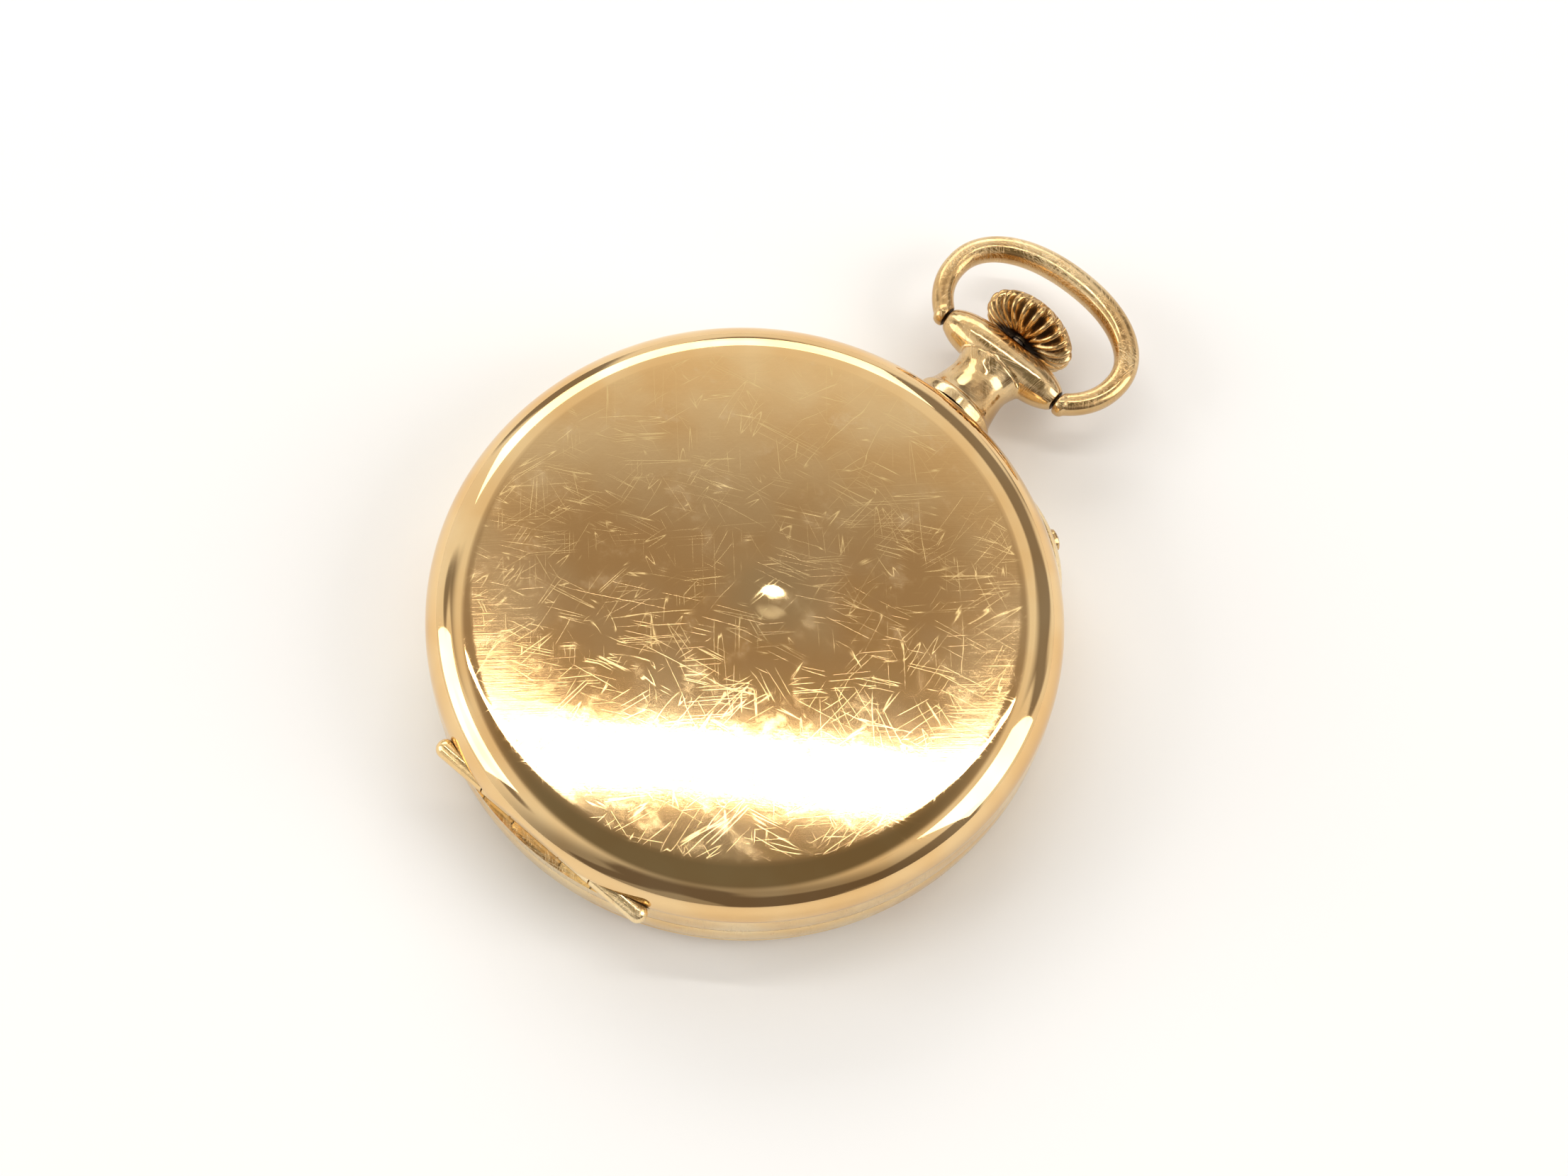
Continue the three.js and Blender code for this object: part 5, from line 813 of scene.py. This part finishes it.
for vertex in crown_mesh.verts:
    flat = Vector((vertex.co.x, vertex.co.y, 0.0))
    radius = flat.length / MM
    if radius > 1.5:
        angle = Vector((1.0, 0.0)).angle_signed(Vector((flat.x, flat.y)))
        groove = ((1.0 - cos(CROWN_LOBES * angle)) / 2) ** 1.5
        above = vertex.co.z > CROWN_SHOULDER * MM
        hold = max(0.0, min(1.0, (radius - (3.35 if above else 1.7)) / (0.5 if above else 1.3)))
        vertex.co -= flat.normalized() * (LOBE_DEPTH * groove * hold * MM)
        vertex.co.z += LOBE_RISE * groove * hold * MM * (-0.6 if above else 0.8)
bmesh.ops.rotate(crown_mesh, verts=crown_mesh.verts, matrix=Matrix.Rotation(-pi / 2, 3, "X"))
bmesh.ops.translate(crown_mesh, verts=crown_mesh.verts, vec=Vector((0.0, CROWN_LOW, STEM_HEIGHT)) * MM)
bmesh.ops.recalc_face_normals(crown_mesh, faces=crown_mesh.faces)
crown = piece("crown_button", crown_mesh, 50.0)
socket = lathe([(0, 32), (0.68, 32), (0.68, 35.1), (0, 35.1)], 24, "Y", STEM_LINE)
work(crown, [socket], "DIFFERENCE", 50.0)
# Strong painted shade darkens the crown's grooves and its underside beside the pendant's head.
crown_gold = worn_gold("crown_gold", 0.07, 0.1, BAND_SCRATCHES, grime_and_shade=1.6, tarnish=0.85)
crown.data.materials.clear()
crown.data.materials.append(crown_gold.material)
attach(crown, "winding_stem")
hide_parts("crown")

# ---------------------------------------------------------------- bow
# A rounded-oval gold wire bent to a stirrup, thicker at the top where the chain pulls, with a boss at each
# end that carries a short pin into the pendant's head.
BOW_HALF_WIDTH = 8.1
BOW_WIDEST = 4.2
BOW_RISE = 9.3
BOW_LOWER = 5.8
BOW_POWER = 2.15
BOW_STEPS = 96
section_data = bpy.data.curves.new("bow_section", "CURVE")
section_data.dimensions = "2D"
outline = section_data.splines.new("POLY")
outline.points.add(31)
for number, point in enumerate(outline.points):
    angle = 2 * pi * number / 32
    across = abs(cos(angle)) ** 0.85 * (1 if cos(angle) >= 0 else -1)
    deep = abs(sin(angle)) ** 0.85 * (1 if sin(angle) >= 0 else -1)
    point.co = (1.0 * across * MM, 1.0 * deep * MM, 0.0, 1.0)
outline.use_cyclic_u = True
section = bpy.data.objects.new("bow_section", section_data)
bpy.context.scene.collection.objects.link(section)
wire_data = bpy.data.curves.new("bow_wire", "CURVE")
wire_data.dimensions = "3D"
wire_data.bevel_mode = "OBJECT"
wire_data.bevel_object = section
wire_data.use_fill_caps = True
wire = wire_data.splines.new("POLY")
wire.points.add(BOW_STEPS)
start_turn = -asin((BOW_WIDEST / BOW_LOWER) ** (BOW_POWER / 2))
for number, point in enumerate(wire.points):
    share = number / BOW_STEPS
    angle = start_turn + share * (pi - 2 * start_turn)
    across = (1 if cos(angle) >= 0 else -1) * abs(cos(angle)) ** (2 / BOW_POWER)
    rise = (1 if sin(angle) >= 0 else -1) * abs(sin(angle)) ** (2 / BOW_POWER)
    height = BOW_RISE - BOW_WIDEST if rise > 0 else BOW_LOWER
    place = (BOW_HALF_WIDTH * across, HEAD_Y + BOW_WIDEST + height * rise, STEM_HEIGHT)
    point.co = (*[part * MM for part in place], 1.0)
    point.radius = 0.93 + 0.14 * max(0.0, rise) + 0.1 * min(0.0, rise)
bow = bpy.data.objects.new("bow_loop", wire_data)
bpy.context.scene.collection.objects.link(bow)
graph = bpy.context.evaluated_depsgraph_get()
bow_data = bpy.data.meshes.new_from_object(bow.evaluated_get(graph), depsgraph=graph)
end_x = wire.points[0].co.x / MM
bpy.data.objects.remove(bow)
bpy.data.objects.remove(section)
bow_mesh = bmesh.new()
bow_mesh.from_mesh(bow_data)
bmesh.ops.remove_doubles(bow_mesh, verts=bow_mesh.verts, dist=1e-6)
bmesh.ops.recalc_face_normals(bow_mesh, faces=bow_mesh.faces)
bow = piece("bow_loop", bow_mesh, 60.0)
bosses = []
for side in (-1, 1):
    boss = [(0.0, 5.63), (0.8, 5.63), (0.93, 5.72), (0.96, 5.9), (0.96, end_x + 0.3), (0.85, end_x + 0.55)]
    boss += [(0.5, end_x + 0.78), (0.0, end_x + 0.84)]
    bosses.append(lathe([(r, side * x) for r, x in boss], 40, "X", HEAD_PLACE))
gate = box((-5.63, HEAD_Y - 2.2, 2.4), (5.63, HEAD_Y + 2.2, 6.8))
work(bow, [gate], "DIFFERENCE", 60.0)
work(bow, bosses, "UNION", 60.0)
melt(bow, 0.085, 10)
work(bow, cross_rods(0.39, 4.2, 6.1), "UNION", 60.0)
BOW_SCRATCHES = [(0.0, 0.5, 0.12, 0.05), *BAND_SCRATCHES]
# Painted shade darkens the bow where it meets the pendant's head.
bow_gold = worn_gold("bow_gold", 0.07, 0.12, BOW_SCRATCHES, grime_and_shade=0.9, tarnish=0.75)
bow.data.materials.clear()
bow.data.materials.append(bow_gold.material)
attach(bow, "bow")
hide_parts("bow")

# ---------------------------------------------------------------- setting pin
# A domed gold push-piece that slides in the guard.
push_profile = [(0.0, 21.5), (0.89, 21.5), (0.89, 24.95), (0.82, 25.12)]
push_profile += [(0.6, 25.23), (0.3, 25.28), (0.0, 25.3)]
push = lathe(push_profile, 40, "X")
bmesh.ops.rotate(push, verts=push.verts, matrix=Matrix.Rotation(GUARD_ANGLE, 3, "Z"))
bmesh.ops.translate(push, verts=push.verts, vec=Vector((0.0, 0.0, STEM_HEIGHT * MM)))
push = piece("push_piece", push)
push.data.materials.append(neck_gold.material)
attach(push, "setting_pin")
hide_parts("setting_pin")

# ---------------------------------------------------------------- cuvette
# The inner dust cover, a thin polished gold plate on the same hinge, with the knuckles soldered to it.
CUVETTE_LOW = 8.38
CUVETTE_KNUCKLE = (2.43, 5.21)
CUVETTE_PROFILE = [
    (0.0, CUVETTE_LOW),
    (22.5, CUVETTE_LOW),
    (22.58, CUVETTE_LOW + 0.08),
    (22.58, CUVETTE_LOW + 0.22),
    (22.4, CUVETTE_LOW + 0.34),
    (22.1, CUVETTE_LOW + 0.38),
    (20.6, CUVETTE_LOW + 0.38),
    (20.4, CUVETTE_LOW + 0.34),
    (20.2, CUVETTE_LOW + 0.38),
    (0.0, CUVETTE_LOW + 0.38),
]
cuvette = piece("dust_cover", lathe(CUVETTE_PROFILE), 30.0)
work(cuvette, [box((-25.0, -26.0, 7.5), (25.0, -21.6, 9.5))], "DIFFERENCE", 30.0)
for side in (-1, 1):
    ends = sorted(side * end for end in CUVETTE_KNUCKLE)
    arm = box((ends[0], -22.25, 7.4), (ends[1], -21.92, 8.56))
    leaf = box((ends[0], -22.25, CUVETTE_LOW), (ends[1], -21.25, 8.56))
    work(cuvette, [hinge_rod(HINGE_RADIUS, *ends), arm, leaf], "UNION", 30.0)
work(cuvette, [hinge_rod(HINGE_BORE, -6.0, 6.0, 16)], "DIFFERENCE", 30.0)
soften(cuvette, 0.03)
settle(cuvette, 30.0)
cuvette_gold = worn_gold("cuvette_gold", 0.05, 0.08, BAND_SCRATCHES, grime_and_shade=0.1)
cuvette.data.materials.clear()
cuvette.data.materials.append(cuvette_gold.material)
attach(cuvette, "inner_cover")
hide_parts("cuvette")

# ---------------------------------------------------------------- dial
# Fired white enamel on copper, a little domed at its edge, with a sunk seconds circle. Its figures and
# tracks are black enamel printed on top, and it faces down towards the crystal.
DIAL_FACE = 2.2
DIAL_RADIUS = 20.55
SECONDS_PLACE = (0.0, -9.6, 0.0)
SECONDS_RADIUS = 3.4
PRINT = 0.012
SECONDS_FACE = 2.34
dial_points = [(0.72, 2.69), (20.5, 2.69), (DIAL_RADIUS, 2.6), (DIAL_RADIUS, 2.3)]
dial_points += [(20.4, 2.23), (20.0, DIAL_FACE), (0.78, DIAL_FACE), (0.72, 2.26)]
dial = piece("dial_plate", lathe(dial_points), 30.0)
sunk_points = [(0, 1.0), (SECONDS_RADIUS + 0.1, 1.0), (SECONDS_RADIUS, SECONDS_FACE), (0, SECONDS_FACE)]
sunk = lathe(sunk_points, 96, "Z", SECONDS_PLACE)
pivot_hole = lathe([(0, 1.0), (0.45, 1.0), (0.45, 3.0), (0, 3.0)], 32, "Z", SECONDS_PLACE)
work(dial, [sunk, pivot_hole], "DIFFERENCE", 30.0)
enamel = Finish("dial_enamel", IOR=1.5, Coat_Weight=0.6, Coat_Roughness=0.04)
milk = enamel.noise(enamel.place(), 0.3, 3.0)
pit = enamel.noise(enamel.place(centre=(1.0, 5.0, 0.0)), 6.0, 1.0)
crack = enamel.noise(enamel.place(centre=(9.0, 3.0, 0.0)), 0.06, 4.0, 0.55).near(0.5, 0.0025)
ivory = enamel.mix(milk.between(0.35, 0.65), (0.86, 0.85, 0.80), (0.90, 0.89, 0.85))
ivory = enamel.mix(crack * 0.55, ivory, (0.35, 0.31, 0.25))
enamel.feed(Base_Color=ivory, Roughness=milk * 0.06 + pit.between(0.6, 0.8) * 0.05 + 0.12)
enamel.relief(pit * 0.3 + milk * 0.5 - crack * 0.3, 0.008)
dial.data.materials.clear()
dial.data.materials.append(enamel.material)
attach(dial, "case")
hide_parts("dial")

ink = bmesh.new()


def stroke(first, second, width, angle, reach, height):
    """One pen stroke of a figure, in its own frame (x along the reading direction), stood on the dial."""
    start, stop = Vector(first), Vector(second)
    along = stop - start
    bar = bmesh.ops.create_cube(ink, size=1.0)["verts"]
    bmesh.ops.scale(ink, verts=bar, vec=Vector((along.length, width, PRINT)) * MM)
    bmesh.ops.rotate(ink, verts=bar, matrix=Matrix.Rotation(along.angle_signed(Vector((1.0, 0.0))), 3, "Z"))
    middle = (start + stop) / 2
    bmesh.ops.translate(ink, verts=bar, vec=Vector((middle.x, middle.y + reach, 0.0)) * MM)
    bmesh.ops.rotate(ink, verts=bar, cent=(0, 0, 0), matrix=Matrix.Rotation(-angle, 3, "Z"))
    bmesh.ops.scale(ink, verts=bar, vec=Vector((-1.0, 1.0, 1.0)))
    bmesh.ops.translate(ink, verts=bar, vec=Vector((0.0, 0.0, (height - PRINT * 0.4) * MM)))


FIGURES = ["XII", "I", "II", "III", "IIII", "V", "VI", "VII", "VIII", "IX", "X", "XI"]
WIDTHS = {"I": 0.78, "V": 1.75, "X": 1.8}
FIGURE_HALF = 1.55
FIGURE_REACH = 15.2
for hour, figure in enumerate(FIGURES):
    if figure == "VI":
        continue
    angle = 2 * pi * hour / 12
    total = sum(WIDTHS[letter] for letter in figure)
    at = -total / 2
    for letter in figure:
        middle = at + WIDTHS[letter] / 2
        low, high = -FIGURE_HALF, FIGURE_HALF
        spread = WIDTHS[letter] / 2 - 0.28
        if letter == "I":
            stroke((middle, low), (middle, high), 0.34, angle, FIGURE_REACH, DIAL_FACE)
            serifs = [(middle, low, 0.34), (middle, high, 0.34)]
        if letter == "V":
            stroke((middle - spread, high), (middle, low), 0.36, angle, FIGURE_REACH, DIAL_FACE)
            stroke((middle + spread, high), (middle, low), 0.11, angle, FIGURE_REACH, DIAL_FACE)
            serifs = [(middle - spread, high, 0.36), (middle + spread, high, 0.3)]
        if letter == "X":
            stroke((middle - spread, high), (middle + spread, low), 0.36, angle, FIGURE_REACH, DIAL_FACE)
            stroke((middle + spread, high), (middle - spread, low), 0.11, angle, FIGURE_REACH, DIAL_FACE)
            serifs = [(middle + sx * spread, y, 0.33) for sx in (-1, 1) for y in (low, high)]
        for x, y, half in serifs:
            stroke((x - half, y), (x + half, y), 0.09, angle, FIGURE_REACH, DIAL_FACE)
        at += WIDTHS[letter]
for minute in range(60):
    angle = 2 * pi * minute / 60
    width = 0.2 if minute % 5 == 0 else 0.08
    stroke((0.0, 18.35), (0.0, 19.05), width, angle, 0.0, DIAL_FACE)


def ring(inner, outer, place, height):
    """A printed circle, let a little into the enamel."""
    low, high = height - PRINT, height + 0.004
    part = lathe([(inner, low), (outer, low), (outer, high), (inner, high)], 192, "Z", place)
    data = bpy.data.meshes.new("ring")
    part.to_mesh(data)
    part.free()
    ink.from_mesh(data)
    bpy.data.meshes.remove(data)


ring(18.3, 18.36, (0, 0, 0), DIAL_FACE)
ring(19.04, 19.1, (0, 0, 0), DIAL_FACE)
ring(2.95, 3.0, SECONDS_PLACE, SECONDS_FACE)
SECONDS_MARKS = 60
for second in range(SECONDS_MARKS):
    angle = 2 * pi * second / SECONDS_MARKS
    long = second % 5 == 0
    before = len(ink.verts)
    stroke((0.0, 2.45 if long else 2.7), (0.0, 2.97), 0.1 if long else 0.05, angle, 0.0, SECONDS_FACE)
    ink.verts.ensure_lookup_table()
    bmesh.ops.translate(ink, verts=ink.verts[before:], vec=Vector(SECONDS_PLACE) * MM)
bmesh.ops.recalc_face_normals(ink, faces=ink.faces)
figures = piece("dial_figures", ink, 30.0)
black = Finish("dial_black", IOR=1.5)
grain = black.noise(black.place(), 8.0, 2.0)
soot = black.mix(grain, (0.012, 0.012, 0.014), (0.03, 0.03, 0.032))
black.feed(Base_Color=soot, Roughness=grain * 0.2 + 0.2)
black.relief(grain, 0.004)
figures.data.materials.append(black.material)
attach(figures, "case")

# ---------------------------------------------------------------- movement finishes
# The parts inside keep their turned and cut solids. Each gets the finish that a watchmaker gives it:
# striped nickel plates, gilt wheels, blued hands and screws, grey polished steel, red stones.


def striped_nickel():
    finish = Finish("nickel_plate", Metallic=1.0, IOR=1.45)
    turned_place = finish.place(turn=(0.0, 0.0, radians(30.0)))
    stripe = finish.add(
        "ShaderNodeTexWave",
        {"wave_type": "BANDS", "bands_direction": "X", "wave_profile": "SAW"},
        {"Vector": turned_place, "Scale": 0.16, "Distortion": 0.0},
        1,
    )
    grain = finish.hairlines(120.0, 2.0, 0.03, 0.3)
    cloud = finish.noise(finish.place(), 0.3, 3.0)
    finish.feed(Base_Color=finish.mix(cloud, (0.60, 0.58, 0.54), (0.72, 0.70, 0.66)))
    finish.feed(Roughness=stripe * 0.12 + cloud * 0.08 + 0.2)
    finish.relief(stripe * 0.8 + grain * 0.15, 0.01)
    return finish


def brushed_metal(name, first, second, rough, spacing=0.05, depth=0.004):
    finish = Finish(name, Metallic=1.0, IOR=1.45)
    cloud = finish.noise(finish.place(), 0.5, 3.0)
    speck = finish.noise(finish.place(centre=(3.0, 8.0, 1.0)), 5.0, 2.0)
    across = finish.hairlines(107.0, 3.0, spacing, 0.2) * 0.6
    grain = finish.hairlines(17.0, 3.0, spacing, 0.3).larger(across)
    tone = finish.mix(cloud.between(0.35, 0.65), first, second)
    worn = cloud * 0.1 + grain * 0.08 + speck.between(0.6, 0.8) * 0.1 + rough
    finish.feed(Base_Color=tone, Roughness=worn)
    finish.relief(grain * 0.6 + speck * 0.4, depth)
    return finish


def red_stone():
    finish = Finish("ruby_stone", IOR=1.77, Coat_Weight=0.5, Coat_Roughness=0.02)
    cloud = finish.noise(finish.place(), 1.6, 3.0)
    tone = finish.mix(cloud, (0.42, 0.008, 0.05), (0.70, 0.03, 0.12))
    finish.feed(Base_Color=tone, Roughness=cloud * 0.08 + 0.04)
    finish.relief(cloud, 0.003)
    return finish


FINISHES = {
    "nickel_plate": striped_nickel(),
    "gilt_brass": brushed_metal("gilt_brass", (0.76, 0.54, 0.24), (0.86, 0.67, 0.36), 0.18),
    "balance_gilt": brushed_metal("balance_gilt", (0.86, 0.66, 0.33), (0.93, 0.77, 0.48), 0.12),
    "steel": brushed_metal("polished_steel", (0.50, 0.50, 0.52), (0.62, 0.62, 0.65), 0.14),
    "blued_steel": brushed_metal("blued_steel", (0.018, 0.035, 0.20), (0.03, 0.07, 0.34), 0.16),
    "ruby": red_stone(),
}
REPLACED = {"case_middle", "hinge_pin", "back_cover", "bezel", "crystal", "pendant", "crown", "bow"}
REPLACED |= {"setting_pin", "cuvette", "dial"}
slot_of = {part["node"]: part["material_slot"] for part in frame["record"]["subparts"]}
for name, carried in frame["nodes"].items():
    if name in REPLACED:
        continue
    carried.data.materials.clear()
    carried.data.materials.append(FINISHES[slot_of[name]].material)
